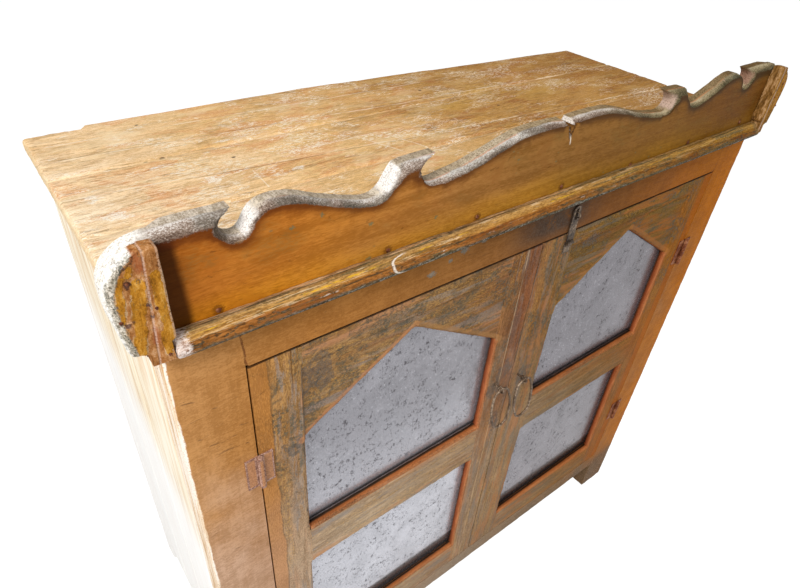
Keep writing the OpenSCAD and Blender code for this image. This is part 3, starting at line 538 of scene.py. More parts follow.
def end_paint():
    """Thick flaking ochre over pink-brown wood on the end blocks."""
    m = Mat("flaking_end")
    tone = m.noise(170, (1, 1, 0.35), 4, 0.7)
    chips = m.noise(560, detail=4, rough=0.75)
    crumbs = m.noise(260, (1, 1, 0.6), 4, 0.75, 0.6, shift=(2, 0, 1))
    wave = (m.noise(90, (1, 1, 0.5), 4, 0.7) - 0.5) * 11.0 + (chips - 0.5) * 4.0
    rim = m.attribute("rim")
    left = m.step(m.x, 0.1, -0.1)
    mixed = tone * 0.5 + chips * 0.3 + crumbs * 0.2
    under = m.ramp(
        mixed, (0.38, (92, 56, 30)), (0.46, (148, 94, 48)), (0.53, (178, 124, 74)),
        (0.62, (214, 172, 132))
    )
    red = m.most(
        m.step(m.bar(-508, 1073, -506, 1064) + wave, 6, 2),
        m.step(m.bar(-506, 1006, -508, 992) + wave * 0.4, 3.5, 1.5)
    )
    under = m.mix(red * 0.55, under, (148, 78, 50))
    under = m.mix(
        1 - left, under,
        m.ramp(
            mixed, (0.38, (84, 58, 26)), (0.47, (132, 92, 40)), (0.55, (164, 118, 56)),
            (0.64, (196, 156, 96))
        )
    )
    over = m.ramp(
        mixed, (0.38, (112, 70, 20)), (0.46, (164, 108, 28)), (0.53, (192, 132, 38)),
        (0.62, (214, 164, 80))
    )
    over = m.mix(
        1 - left, over,
        m.ramp(
            mixed, (0.38, (96, 62, 18)), (0.47, (150, 100, 28)), (0.56, (178, 122, 38)),
            (0.64, (200, 156, 84))
        )
    )
    reach = None
    for x0, z0, x1, z1, r in (
        (-511, 1050, -520, 986, 5.2), (-521, 1002, -524, 986, 3.5), (-523, 1058, -528, 1022, 3.2),
        (-528, 1010, -529, 1000, 2.6), (-514, 1066, -516, 1060, 2.2), (-497.5, 1056, -497, 984, 4.2),
        (-501, 1000, -500, 978, 2.6), (515, 1060, 505, 990, 5), (526, 1050, 522, 1010, 5)
    ):
        d = m.bar(x0, z0, x1, z1) + wave * (1.0 if r > 3 else 0.7) - r
        reach = d if reach is None else m.math("MINIMUM", reach, d)
    paint = m.step(reach, 0.6, -0.4)
    colour = m.mix(paint * 0.92, under, over)
    outline = (
        m.step(abs(reach - 0.3), 0.7, 0.25) * m.step(m.noise(60, detail=3, shift=(5, 0, 0)), 0.46, 0.56)
    )
    colour = m.mix(outline * 0.6, colour, (224, 192, 150))
    groove = m.step(abs(abs(m.x + (m.z - 1.03) * -0.05) - 0.5055), 0.0013, 0.0004) * left
    colour = m.mix(groove * (0.15 + m.step(chips, 0.42, 0.55) * 0.5), colour, (206, 176, 158))
    side_line = m.most(
        left * m.step(abs(m.x + 0.4925), 0.0016, 0.0006) * 0.55,
        (1 - left) * m.step(abs(m.x + wave * 0.0001 - 0.4985), 0.0024, 0.001) * 0.65
    )
    colour = m.mix(
        side_line * m.step(chips, 0.4, 0.5), colour, m.mix(left, (206, 176, 156), (214, 180, 152))
    )
    specks = m.step(crumbs, 0.56, 0.63) * m.step(chips, 0.44, 0.54)
    colour = m.mix(specks * 0.55, colour, (86, 84, 62))
    pits = m.step(m.cells(80, (1, 1, 0.7), shift=(1, 0, 0)), 0.2, 0.1) * m.step(chips, 0.46, 0.56)
    dents = m.spots(
        (
            (-518, 1053, 2.4, 0.8), (-525, 1016, 2.2, 1), (-529, 1036, 1.6, 1), (-519, 1068, 1.8, 1),
            (-507, 1030, 1.6, 1)
        ),
        (chips - 0.5) * 4.0
    )
    colour = m.mix(m.most(pits, dents) * 0.75, colour, (76, 60, 66))
    front = m.step(abs(m.ny), 0.5, 0.8)
    ragged = rim + (chips - 0.5) * 6 + (m.noise(60, detail=3) - 0.5) * 5
    wide = 2.6 + m.step(m.x, -0.517, -0.525) * 3.0 + m.step(m.z, 1.07, 1.05) * 1.0
    speckled = m.ramp(
        chips * 0.8 + tone * 0.2, (0.38, (62, 66, 60)), (0.45, (112, 112, 100)), (0.52, (176, 168, 152)),
        (0.6, (230, 224, 212))
    )
    dull = m.ramp(chips, (0.38, (92, 66, 34)), (0.5, (136, 100, 54)), (0.6, (176, 144, 98)))
    grime = m.step(ragged - wide, 1.2, -0.6)
    colour = m.mix(grime * (0.3 + left * 0.6), colour, m.mix(left, dull, speckled))
    crack = m.step(abs(ragged - 4.6), 1.0, 0.3) * m.step(m.z, 1.058, 1.066) * left * front
    colour = m.mix(crack * 0.7, colour, (58, 48, 36))
    # Worn edges and side faces: bare wood on both blocks, near white on the left block, partly as painted
    # sunlight, and dull on the right block.
    skin = m.most(m.step(ragged, 1.6, 0.4), (1 - front) * m.step(rim, 7.0, 4.0))
    bare = m.ramp(
        chips * 0.7 + tone * 0.3, (0.36, (170, 158, 140)), (0.44, (222, 214, 202)),
        (0.5, (243, 238, 230)), (0.56, (252, 249, 244))
    )
    fore = m.step(m.y + (crumbs - 0.5) * 0.02, end_front + 0.0065, end_front + 0.002)
    bare = m.mix(fore * 0.8, bare, speckled)
    colour = m.mix(skin, colour, m.mix(left, dull, bare))
    # Painted shade on the inner face of the left block, which is turned away from the light; the right
    # block's inner face is paler.
    inner = (
        m.step(m.nx * m.math("SIGN", m.x), -0.45, -0.8)
        * m.step(m.y, crest_front + 0.002, crest_front - 0.001)
    )
    colour = m.mix(
        inner * 0.85, colour,
        m.mix(
            left, m.ramp(tone, (0.4, (98, 66, 30)), (0.5, (140, 100, 52)), (0.6, (188, 148, 104))),
            m.ramp(tone, (0.4, (70, 38, 16)), (0.6, (120, 78, 44)))
        )
    )
    m.bump(
        paint * 0.5 + chips * 0.5 + tone * 0.4 + pits * -0.4 + dents * -0.4 + groove * -0.4, 0.0016, 0.9
    )
    return m.done(colour, m.mix(paint, grey(0.85), grey(0.55)), specular=0.03)


def moulding_paint():
    m = Mat("moulding_ochre")
    grain = m.noise(190, (0.06, 1, 1), 4, 0.7, 0.6)
    fine = m.noise(760, (0.12, 1, 1), 3, 0.7)
    chips = m.noise(560, (0.5, 1, 1), 4, 0.75)
    cloud = m.noise(22, (0.4, 1, 1), 4, 0.65, 0.6)
    crumbs = m.noise(240, (0.4, 1, 1), 4, 0.75, 0.6, shift=(3, 0, 2))
    tone = grain * 0.4 + fine * 0.3 + chips * 0.3
    # way round the profile in mm, 0 at its foot in front and 45 at the crest
    up = (m.z - crest_foot) * 1000.0
    back = (m.y - (crest_front - 0.021)) * 1000.0
    way = up + back + (m.noise(20, (0.3, 1, 1), 4, 0.6) - 0.5) * 9.0 + (grain - 0.5) * 8.0
    share = way * (1 / 48)
    colour = m.ramp(
        share, (0.02, (84, 76, 62)), (0.12, (112, 92, 66)), (0.17, (152, 98, 48)), (0.36, (160, 106, 50)),
        (0.44, (176, 130, 66)), (0.62, (184, 142, 84)), (0.7, (132, 104, 66)), (0.76, (172, 134, 92)),
        (0.9, (178, 138, 98)), (0.97, (228, 182, 146))
    )
    # A darker, more olive version towards the right: partly the paint's own tone, partly painted light
    # falling from the left.
    colour = m.mix(
        m.step(m.x + (cloud - 0.5) * 0.3, -0.2, 0.35) * 0.72, colour,
        m.ramp(
            share, (0.02, (56, 56, 38)), (0.16, (92, 76, 40)), (0.3, (118, 82, 30)),
            (0.5, (150, 108, 34)), (0.72, (152, 114, 48)), (0.9, (116, 88, 48)), (0.98, (176, 128, 84))
        )
    )
    colour = m.vary(colour, tone, (0.60, 0.54, 0.46), (1.26, 1.27, 1.30), 0.43, 0.57)
    olive = (
        m.step(m.noise(300, (0.05, 1, 1), 4, 0.75, shift=(8, 0, 4)), 0.5, 0.56)
        * m.step(m.noise(40, (0.3, 1, 1), 3, 0.6, shift=(1, 9, 0)), 0.42, 0.54)
    )
    colour = m.mix(olive * 0.75, colour, m.ramp(chips, (0.4, (72, 66, 40)), (0.6, (122, 108, 76))))
    pale = (
        m.step(m.noise(340, (0.05, 1, 1), 4, 0.75, shift=(0, 6, 4)), 0.56, 0.62)
        * m.step(share, 0.25, 0.4) * (0.3 + m.step(m.x, 0.3, -0.1) * 0.7)
    )
    colour = m.mix(pale * 0.6, colour, (228, 200, 160))
    patchy = m.step(share, 0.42, 0.3) * m.step(cloud, 0.5, 0.6) * m.step(chips, 0.42, 0.54)
    colour = m.mix(patchy * 0.55, colour, (124, 62, 26))
    west = m.step(m.x, 0.25, -0.1)
    gold = (
        m.step(abs(share - 0.52), 0.035, 0.008) * m.step(m.noise(24, (0.5, 1, 1), 3), 0.5, 0.56)
        * m.step(fine, 0.42, 0.52) * (0.25 + west * 0.75)
    )
    colour = m.mix(gold * 0.8, colour, (226, 176, 36))
    dash = m.most(
        m.step(abs(share - 0.71), 0.026, 0.008) * m.step(m.noise(44, (0.5, 0, 0), 4, 0.7), 0.44, 0.52),
        m.step(abs(share - 0.3), 0.02, 0.006)
        * m.step(m.noise(30, (0.5, 0, 0), 4, 0.7, shift=(5, 0, 0)), 0.47, 0.54)
    )
    colour = m.mix(dash * 0.75, colour, (58, 50, 38))
    mould = (
        m.step(crumbs, 0.52, 0.6) * m.step(m.noise(30, (0.5, 1, 1), 3, 0.7, shift=(9, 1, 0)), 0.44, 0.55)
        * (0.3 + m.step(share, 0.5, 0.25) * 0.7)
    )
    colour = m.mix(mould * 0.75, colour, m.ramp(chips, (0.4, (44, 46, 36)), (0.6, (92, 92, 76))))
    white = (
        m.step(abs(share - 0.24), 0.03, 0.01)
        * m.step(m.noise(26, (0.5, 0, 0), 4, 0.7, shift=(2, 0, 0)), 0.54, 0.6) * m.step(chips, 0.46, 0.54)
        * west
    )
    colour = m.mix(white * 0.7, colour, (226, 214, 198))
    below = m.step(share, 0.17, 0.08) * m.step(chips * 0.5 + cloud * 0.5, 0.42, 0.5)
    colour = m.mix(
        below * 0.85, colour,
        m.ramp(
            chips * 0.6 + crumbs * 0.4, (0.42, (38, 40, 32)), (0.5, (74, 76, 66)), (0.58, (168, 162, 150))
        )
    )
    under = m.step(up, 1.2, -0.2) * (0.35 + west * 0.65)
    colour = m.mix(
        under * 0.85, colour,
        m.ramp(chips, (0.4, (92, 92, 88)), (0.52, (136, 138, 134)), (0.6, (188, 186, 178)))
    )
    arc = abs(m.away(-249, 977, 2.6) - 21.0)
    hook = (
        m.step(arc + (chips - 0.5) * 4, 2.2, 0.9) * m.step(m.x, -0.246, -0.26) * m.step(chips, 0.34, 0.42)
    )
    colour = m.mix(hook * 0.85, colour, (240, 228, 212))
    tails = m.lines(((-240, 969, -222, 971, 1.4), (-222, 971, -200, 975, 1.0)), (chips - 0.5) * 3.0)
    colour = m.mix(tails * m.step(chips, 0.46, 0.56) * 0.5, colour, (206, 190, 168))
    # The ends: the left end is pale, worn wood made near white, partly as painted sunlight; the right end
    # is darker.
    end = m.step(abs(m.x) + (chips - 0.5) * 0.02, 0.48, 0.487)
    end_tone = m.mix(
        m.step(m.x, 0.1, -0.1), m.ramp(chips, (0.4, (104, 78, 40)), (0.6, (160, 128, 84))),
        m.ramp(chips, (0.36, (160, 124, 106)), (0.46, (212, 188, 174)), (0.56, (242, 230, 222)))
    )
    colour = m.mix(end * 0.85, colour, end_tone)
    m.bump(grain * 0.6 + chips * 0.5 + hook * -0.3 + mould * -0.3 + fine * 0.4, 0.0018, 0.9)
    return m.done(colour, m.mix(cloud, grey(0.55), grey(0.75)), specular=0.03)


def frame_paint(name, length):
    m = Mat(name)
    along = {"x": (0.08, 1, 1), "z": (1, 1, 0.08)}[length]
    grain = m.noise(110, along, 4, 0.7, 0.6)
    ripple = m.noise(230, (0.3, 1, 1.3), 3, 0.65, 0.9)
    cloud = m.noise(9, (1, 1, 0.7), 4, 0.6, 0.6)
    blotch = m.noise(30, (1, 1, 0.8), 4, 0.65, 0.6, shift=(4, 0, 4))
    fine = m.noise(700, (0.6, 1, 0.9), 3, 0.7)
    chips = m.noise(520, detail=4, rough=0.75)
    drift = (cloud - 0.5) * 0.16
    # Paler towards the left: partly the paint's own tone, partly painted light falling from the left.
    upper = m.across(
        drift, (-500, (190, 138, 84)), (-430, (178, 124, 68)), (-354, (170, 114, 56)),
        (-153, (146, 98, 50)), (30, (124, 80, 42)), (165, (122, 76, 32)), (330, (152, 90, 28)),
        (432, (158, 94, 24)), (500, (172, 100, 18))
    )
    lower = m.across(
        drift, (-500, (198, 162, 136)), (-432, (188, 150, 122)), (0, (158, 134, 108)),
        (300, (150, 116, 80)), (432, (162, 104, 48)), (500, (186, 112, 30))
    )
    down = m.step(m.z + (cloud - 0.5) * 0.35, 0.84, 0.52)
    colour = m.mix(down * 0.9, upper, lower)
    colour = m.vary(
        colour, grain * 0.2 + ripple * 0.25 + fine * 0.3 + blotch * 0.25, (0.82, 0.77, 0.68),
        (1.13, 1.15, 1.18)
    )
    base = m.step(m.z + (cloud - 0.5) * 0.2, 0.2, 0.06)
    colour = m.mix(
        base * 0.85, colour,
        m.mix(
            m.step(m.x, -0.2, 0.3), m.ramp(chips, (0.4, (120, 100, 80)), (0.6, (176, 156, 134))),
            m.ramp(chips, (0.4, (54, 48, 40)), (0.52, (100, 84, 64)), (0.62, (146, 124, 98)))
        )
    )
    dusk = (
        m.step(abs(m.x - 0.02), 0.12, 0.02) * m.step(m.z, 0.9, 0.93)
        * m.step(chips * 0.3 + blotch * 0.4 + cloud * 0.3, 0.38, 0.48)
    )
    colour = m.mix(dusk * 0.82, colour, m.ramp(chips, (0.4, (34, 34, 36)), (0.6, (80, 72, 64))))
    teal = (
        m.spots(
            (
                (-199, 932, 6, 1.6), (-172, 941, 3, 1.2), (-150, 948, 6, 1.4), (-120, 952, 5, 1.4),
                (-330, 953, 3, 1.8)
            ),
            (chips - 0.5) * 4.0
        )
        * m.step(m.z, 0.9, 0.91)
    )
    colour = m.mix(teal * 0.7, colour, m.ramp(chips, (0.4, (92, 108, 104)), (0.6, (150, 148, 138))))
    wander = (m.noise(60, (1, 1, 0.6), 4, 0.7) - 0.5) * 9.0
    seam = m.most(
        m.lines(((-430.5, 900, -433, 962, 1.5),), wander),
        m.lines(((432, 900, 432, 962, 1.2),), wander) * 0.6
    )
    colour = m.mix(seam * m.step(chips, 0.36, 0.5) * 0.75, colour, (98, 52, 30))
    edge = m.attribute("edge")
    ragged = edge + (chips - 0.5) * 5 + (m.noise(30, along, 3) - 0.5) * 8
    worn = m.step(ragged, 1.6, 0.0)
    colour = m.mix(
        worn * 0.6, colour,
        m.ramp(chips, (0.38, (66, 50, 38)), (0.48, (128, 98, 72)), (0.6, (200, 172, 142)))
    )
    rag = (m.noise(90, (1, 1, 0.5), 4, 0.7) - 0.5) * 0.006
    flake = m.step(-m.x + rag, 0.5025, 0.504) * m.step(chips, 0.36, 0.44)
    colour = m.mix(
        flake * 0.9, colour,
        m.ramp(
            m.noise(90, (1, 1, 0.06), 3, 0.7), (0.4, (206, 168, 124)), (0.48, (240, 220, 192)),
            (0.56, (252, 243, 230))
        )
    )
    mark = (
        m.step(m.noise(110, (0.4, 1, 2.0), 4, 0.7, 0.6, shift=(3, 1, 8)), 0.63, 0.68)
        * m.step(cloud, 0.44, 0.55)
    )
    nicks = m.lines(
        (
            (-500, 896, -484, 892, 1.1), (-472, 874, -464, 872, 1.1), (-492, 839, -484, 837, 1.0),
            (-482, 823, -468, 821, 1.2), (-444, 802, -437, 799, 1.3), (-478, 620, -466, 617, 1.0)
        ),
        (chips - 0.5) * 2.0
    )
    colour = m.mix(m.most(mark, nicks) * 0.5, colour, (92, 66, 46))
    m.bump(
        grain * 0.2 + ripple * 0.5 + fine * 0.25 + worn * -0.4 + nicks * -0.4 + seam * -0.4, 0.0014, 0.75
    )
    return m.done(colour, m.mix(cloud, grey(0.45), grey(0.65)), specular=0.03)


def door_paint(name, length):
    m = Mat(name)
    along = {"x": (0.10, 1, 1), "z": (1, 1, 0.10)}[length]
    grain = m.noise(170, along, 4, 0.7, 0.7)
    fine = m.noise(720, (along[0] ** 0.6, 1, along[2] ** 0.6), 3, 0.7)
    cloud = m.noise(10, detail=4, rough=0.6, bend=0.6)
    chips = m.noise(520, detail=4, rough=0.75)
    crumbs = m.noise(210, (0.8, 1, 0.8), 4, 0.75, 0.6, shift=(4, 0, 2))
    smudge = m.noise(20, detail=4, rough=0.7, bend=0.5, shift=(1, 8, 3))
    drift = (cloud - 0.5) * 0.12
    # Paler towards the left, here, in the lower colour and in the orange margin: partly the paint's own
    # tone, partly painted light falling from the left.
    upper = m.across(
        drift, (-430, (178, 130, 76)), (-380, (162, 124, 80)), (-290, (154, 119, 80)),
        (-150, (140, 108, 72)), (-60, (138, 98, 62)), (-8, (132, 86, 56)), (8, (146, 108, 68)),
        (80, (120, 92, 50)), (200, (108, 82, 40)), (340, (118, 90, 44)), (400, (148, 94, 34)),
        (430, (162, 98, 26))
    )
    lower = m.across(
        drift, (-430, (190, 160, 134)), (-300, (188, 168, 144)), (-60, (164, 138, 112)),
        (30, (158, 132, 104)), (227, (142, 112, 76)), (360, (144, 102, 60)), (430, (160, 98, 46))
    )
    down = m.step(m.z + (cloud - 0.5) * 0.3, 0.8, 0.48)
    colour = m.mix(down * 0.9, upper, lower)
    colour = m.vary(
        colour, grain * 0.38 + fine * 0.32 + chips * 0.3, (0.62, 0.57, 0.5), (1.28, 1.27, 1.24)
    )
    yellow = (
        m.step(fine * 0.6 + chips * 0.4, 0.5, 0.58)
        * m.step(m.noise(32, along, 4, 0.7, shift=(5, 5, 1)), 0.48, 0.58)
    )
    colour = m.mix(yellow * 0.6, colour, m.across(0.0, (-300, (206, 158, 74)), (300, (178, 126, 36))))
    reddish = m.step(m.noise(24, along, 4, 0.7, shift=(2, 5, 9)), 0.5, 0.6) * m.step(chips, 0.42, 0.54)
    colour = m.mix(reddish * 0.55, colour, m.across(0.0, (-300, (150, 96, 56)), (300, (138, 78, 36))))
    thin = (along[0] * 0.8, 1, along[2] * 0.8)
    cool = (
        m.step(m.noise(95, thin, 4, 0.7, 0.4, shift=(6, 6, 2)), 0.5, 0.58)
        * m.step(m.noise(16, along, 3, shift=(3, 1, 5)), 0.42, 0.54) * m.step(chips, 0.36, 0.5)
    )
    colour = m.mix(
        cool * 0.55, colour,
        m.across(0.0, (-300, (146, 144, 142)), (100, (118, 110, 98)), (300, (96, 86, 66)))
    )
    warm = (
        m.step(m.noise(80, thin, 4, 0.7, 0.4, shift=(9, 2, 7)), 0.5, 0.58)
        * m.step(m.noise(14, along, 3, shift=(7, 4, 1)), 0.42, 0.54)
    )
    colour = m.mix(
        warm * 0.55, colour,
        m.across(0.0, (-300, (200, 144, 104)), (100, (176, 116, 70)), (300, (164, 96, 40)))
    )
    high = 0.3 + m.step(m.z, 0.55, 0.78) * 0.7
    olive = (
        m.step(crumbs * 0.4 + chips * 0.3 + grain * 0.3, 0.48, 0.55) * m.step(smudge, 0.42, 0.56) * high
    )
    colour = m.mix(olive * 0.78, colour, m.ramp(chips, (0.4, (48, 52, 46)), (0.6, (98, 100, 88))))
    soot = m.spots(
        (
            (-352, 848, 12, 0.5), (-362, 800, 8, 0.35), (-384, 752, 9, 0.7), (-366, 610, 8, 0.6),
            (120, 868, 16, 1.6), (-30, 660, 14, 0.5), (36, 640, 16, 0.6), (-20, 560, 9, 0.4)
        ),
        (smudge - 0.5) * 9.0
    )
    colour = m.mix(
        soot * m.step(chips * 0.5 + crumbs * 0.5, 0.4, 0.52) * 0.7, colour,
        m.ramp(chips, (0.4, (50, 50, 52)), (0.6, (106, 102, 96)))
    )
    # smooth orange margin of the hinge stiles
    rag = (chips * 0.4 + m.noise(26, (1, 1, 0.5), 3) * 0.6 - 0.5) * 0.02
    margin = m.step(abs(m.x) + rag, 0.4095, 0.4115)
    orange = m.across(0.0, (-430, (186, 128, 66)), (0, (158, 94, 40)), (430, (160, 90, 22)))
    orange = m.mix(down * 0.8, orange, m.across(0.0, (-430, (194, 148, 112)), (430, (164, 96, 40))))
    orange = m.vary(orange, cloud * 0.4 + fine * 0.6, (0.82, 0.77, 0.7), (1.1, 1.1, 1.1))
    colour = m.mix(margin * 0.9, colour, orange)
    rim = m.step(abs(abs(m.x) + rag - 0.4098), 0.0014, 0.0005) * m.step(chips, 0.38, 0.5)
    colour = m.mix(rim * 0.5, colour, (100, 76, 54))
    # strips beside the gap where the doors meet
    red = m.step(abs(m.x + 0.014 + rag * 0.15), 0.0125, 0.011) * m.step(m.z, 0.45, 0.75)
    colour = m.mix(
        red * m.step(smudge, 0.36, 0.5) * 0.5, colour,
        m.ramp(grain * 0.5 + chips * 0.5, (0.4, (88, 50, 32)), (0.6, (158, 98, 64)))
    )
    thread = (
        m.step(abs(m.x + 0.0275 + rag * 0.15), 0.001, 0.0003)
        * m.step(m.noise(18, (0, 0, 1), 3, shift=(0, 0, 4)), 0.4, 0.5)
    )
    colour = m.mix(thread * 0.6, colour, (206, 176, 140))
    member = (
        m.step(abs(m.x + 0.383 + rag * 0.2), 0.0011, 0.0004) * m.step(m.z, 0.84, 0.85)
        * m.step(chips, 0.36, 0.46)
    )
    colour = m.mix(member * 0.6, colour, (86, 54, 34))
    # the slopes over the upper mirrors
    for side, tint in (
        (LEFT_SLOPES[0], (204, 138, 96)), (LEFT_SLOPES[1], (170, 124, 76)),
        (RIGHT_SLOPES[0], (160, 112, 52)), (RIGHT_SLOPES[1], (168, 108, 58))
    ):
        band = m.step(m.bar(*side) + (chips - 0.5) * 4 + (crumbs - 0.5) * 6, 7.5, 5.0)
        colour = m.mix(band * 0.5, colour, tint)
    # walls of the openings: wood colour at the front edge, with painted shade deepening to black beside
    # the glass
    depth = (m.y - crest_front) * 1000.0
    steep = m.step(abs(m.ny), 0.8, 0.55) * m.step(depth, 0.1, 0.6)
    inside = (
        steep
        * m.most(
            m.step(m.z, 0.1965, 0.197) * m.step(m.z, 0.4795, 0.479),
            m.step(m.z, 0.5615, 0.562) * m.step(m.z, 0.878, 0.877)
        )
        * m.most(
            m.step(m.x, -0.3735, -0.373) * m.step(m.x, -0.0515, -0.052),
            m.step(m.x, 0.069, 0.0695) * m.step(m.x, 0.3815, 0.381)
        )
    )
    jamb = m.most(*(m.step(abs(m.x - x), 0.006, 0.004) for x in (-0.37, -0.05525, 0.07225, 0.378)))
    inside = inside * (1 - jamb * m.step(m.z, 0.7585, 0.7605))
    deep = depth + (chips - 0.5) * 2.0
    floor = m.ramp(
        deep * 0.07, (0.0, (206, 142, 96)), (0.12, (178, 110, 64)), (0.5, (150, 84, 42)),
        (0.6, (70, 38, 22)), (0.68, (24, 16, 12))
    )
    cheek = m.ramp(
        deep * 0.07, (0.0, (200, 138, 96)), (0.25, (178, 106, 64)), (0.55, (150, 76, 42)),
        (0.82, (90, 42, 24)), (0.92, (26, 18, 14))
    )
    wall = m.mix(m.step(abs(m.nx), 0.5, 0.7), floor, cheek)
    colour = m.mix(
        inside * 0.94, colour,
        m.vary(wall, grain * 0.5 + chips * 0.5, (0.75, 0.7, 0.65), (1.15, 1.15, 1.15))
    )
    # brown strip painted like a chamfer along the foot and the right-hand side of each opening
    jagged = (chips - 0.5) * 0.003
    strip = None
    for left, right, foot, head in (
        (-0.37, -0.05525, 0.565, 0.757), (-0.37, -0.05525, 0.2, 0.4755), (0.07225, 0.378, 0.565, 0.757),
        (0.07225, 0.378, 0.2, 0.4755)
    ):
        x, z = m.x + jagged, m.z + jagged
        span = m.step(m.x, left, left + 0.001) * m.step(m.x, right + 0.004, right + 0.002)
        rise = m.step(m.z, foot - 0.004, foot - 0.002) * m.step(m.z, head, head - 0.001)
        low = span * m.step(z, foot - 0.0056, foot - 0.0046) * m.step(m.z, foot + 0.001, foot)
        side = rise * m.step(x, right + 0.0042, right + 0.0034) * m.step(m.x, right - 0.001, right)
        both = m.most(low, side)
        strip = both if strip is None else m.most(strip, both)
    colour = m.mix(
        strip * m.step(abs(m.ny), 0.5, 0.8) * 0.8, colour,
        m.vary((168, 104, 60), grain * 0.5 + chips * 0.5, (0.7, 0.62, 0.55), (1.2, 1.2, 1.2))
    )
    # Painted shade on the walls of the members that face into the gaps between them.
    gap_wall_shade = steep * (1 - inside) * m.step(depth, 2.5, 3.5)
    colour = m.mix(gap_wall_shade * 0.85, colour, (54, 36, 24))
    edge = m.attribute("edge")
    ragged = edge + (chips - 0.5) * 5 + (m.noise(30, along, 3) - 0.5) * 7
    worn = m.step(ragged, 1.2, -0.2)
    colour = m.mix(
        worn * 0.55, colour,
        m.ramp(chips, (0.38, (58, 42, 30)), (0.5, (116, 88, 62)), (0.6, (196, 160, 124)))
    )
    # dark joint along the head of each door
    joint = m.step(m.z + (m.noise(24, (1, 0, 0), 3, shift=(2, 0, 0)) - 0.5) * 0.004, 0.9056, 0.9068)
    colour = m.mix(joint * 0.85, colour, (40, 24, 16))
    m.bump(grain * 0.5 + fine * 0.35 + chips * 0.2 + olive * -0.35 + worn * -0.4, 0.0018, 0.85)
    return m.done(colour, m.mix(cloud, grey(0.55), grey(0.75)), specular=0.03)


def side_wood(name, pale, mid, dark, glare_and_streaks=False):
    m = Mat(name)
    streak = m.noise(120, (1, 1, 0.04), 4, 0.65, 0.4)
    fibre = m.noise(520, (1, 1, 0.04), 3, 0.65)
    cloud = m.noise(9, (1, 1, 0.5), 3, 0.6)
    tone = streak * 0.6 + fibre * 0.2 + cloud * 0.2
    colour = m.ramp(tone, (0.38, dark), (0.48, mid), (0.58, pale))
    colour = m.mix(m.step(fibre, 0.56, 0.66) * 0.5, colour, pale)
    if glare_and_streaks:
        # The side turns white towards the bottom and the back: painted glare of strong light, not a
        # colour of the wood. The warm streaks high up are the wood's own.
        height = m.z - (m.y + 0.19) * 0.385
        colour = m.mix(m.step(height + (cloud - 0.5) * 0.1, 0.72, 0.52) * 0.82, colour, (252, 252, 252))
        warm = (
            m.step(m.z, 0.8, 0.93) * m.step(m.noise(60, (1, 1, 0.05), 3, 0.6, shift=(3, 0, 0)), 0.5, 0.6)
        )
        colour = m.mix(warm * 0.5, colour, (226, 176, 120))
    m.bump(streak + fibre * 0.5, 0.0016, 0.7)
    return m.done(colour, 0.75, specular=0.05)


def mirror_glass():
    m = Mat("old_mirror")
    smear = m.noise(11, (1, 1, 0.8), 4, 0.6, 0.8)
    curl = m.noise(64, (1, 1, 0.9), 3, 0.6, 1.6)
    flecks = m.noise(240, (1, 1, 0.7), 4, 0.7, 0.9, shift=(1, 0, 2))
    grit = m.noise(620, detail=3, rough=0.8)
    field = m.noise(26, detail=3, rough=0.7, shift=(6, 0, 1))
    # Painted reflection: the silvering's grey is paler low down, where it stands in for a bright floor
    # seen in the glass, and paler at the left, where it stands in for the light from the left.
    high = m.across(
        0.0, (-370, (150, 149, 155)), (-60, (142, 140, 145)), (70, (122, 119, 125)),
        (380, (112, 108, 113))
    )
    low = m.across(
        0.0, (-370, (196, 197, 205)), (-60, (184, 184, 191)), (70, (126, 122, 128)),
        (380, (110, 106, 111))
    )
    colour = m.mix(m.step(m.z + (smear - 0.5) * 0.3, 0.74, 0.46), high, low)
    colour = m.vary(
        colour, smear * 0.25 + grit * 0.5 + flecks * 0.25, (0.76, 0.76, 0.76), (1.2, 1.2, 1.2)
    )
    crack = (
        m.step(abs(curl - 0.5), 0.034, 0.012) * m.step(m.noise(90, detail=2, shift=(3, 0, 3)), 0.56, 0.62)
        * m.step(field + m.x * -0.25, 0.4, 0.52)
    )
    fleck = m.step(flecks, 0.56, 0.62) * m.step(field + m.x * -0.2, 0.42, 0.54)
    chip = m.step(grit, 0.6, 0.66) * m.step(field, 0.38, 0.5)
    dirt = m.most(crack * 0.9, fleck * 0.85, chip * 0.7)
    colour = m.mix(dirt, colour, m.across(0.0, (-300, (78, 74, 78)), (300, (54, 50, 50))))
    pale = (
        m.step(m.noise(300, detail=3, rough=0.7, shift=(7, 0, 7)), 0.6, 0.66) * m.step(field, 0.56, 0.46)
    )
    colour = m.mix(pale * 0.5, colour, (214, 214, 220))
    # Painted shade: a dark band along the foot of each glass, deep in its opening.
    edge = m.most(m.step(m.z, 0.5755, 0.5675), m.step(m.z, 0.2105, 0.2025))
    foot = edge * m.most(m.step(m.z, 0.5645, 0.5655), m.step(m.z, 0.24, 0.23))
    colour = m.mix(foot * 0.85, colour, (24, 18, 15))
    m.bump(m.noise(7, detail=2) * 1.0 + dirt * -0.1 + grit * 0.04, 0.0012, 0.12)
    return m.done(colour, 0.16 + dirt * 0.5 + grit * 0.16, 0.62 - dirt * 0.55)


def iron(name, dark, mid, light, rough=0.6, metal=0.5):
    m = Mat(name)
    rust = m.noise(300, detail=4, rough=0.75, bend=0.5)
    wide = m.noise(80, detail=3, rough=0.6)
    colour = m.ramp(rust * 0.6 + wide * 0.4, (0.38, dark), (0.5, mid), (0.62, light))
    m.bump(rust, 0.0006, 0.8)
    return m.done(colour, m.mix(rust, grey(rough - 0.12), grey(rough + 0.12)), metal)


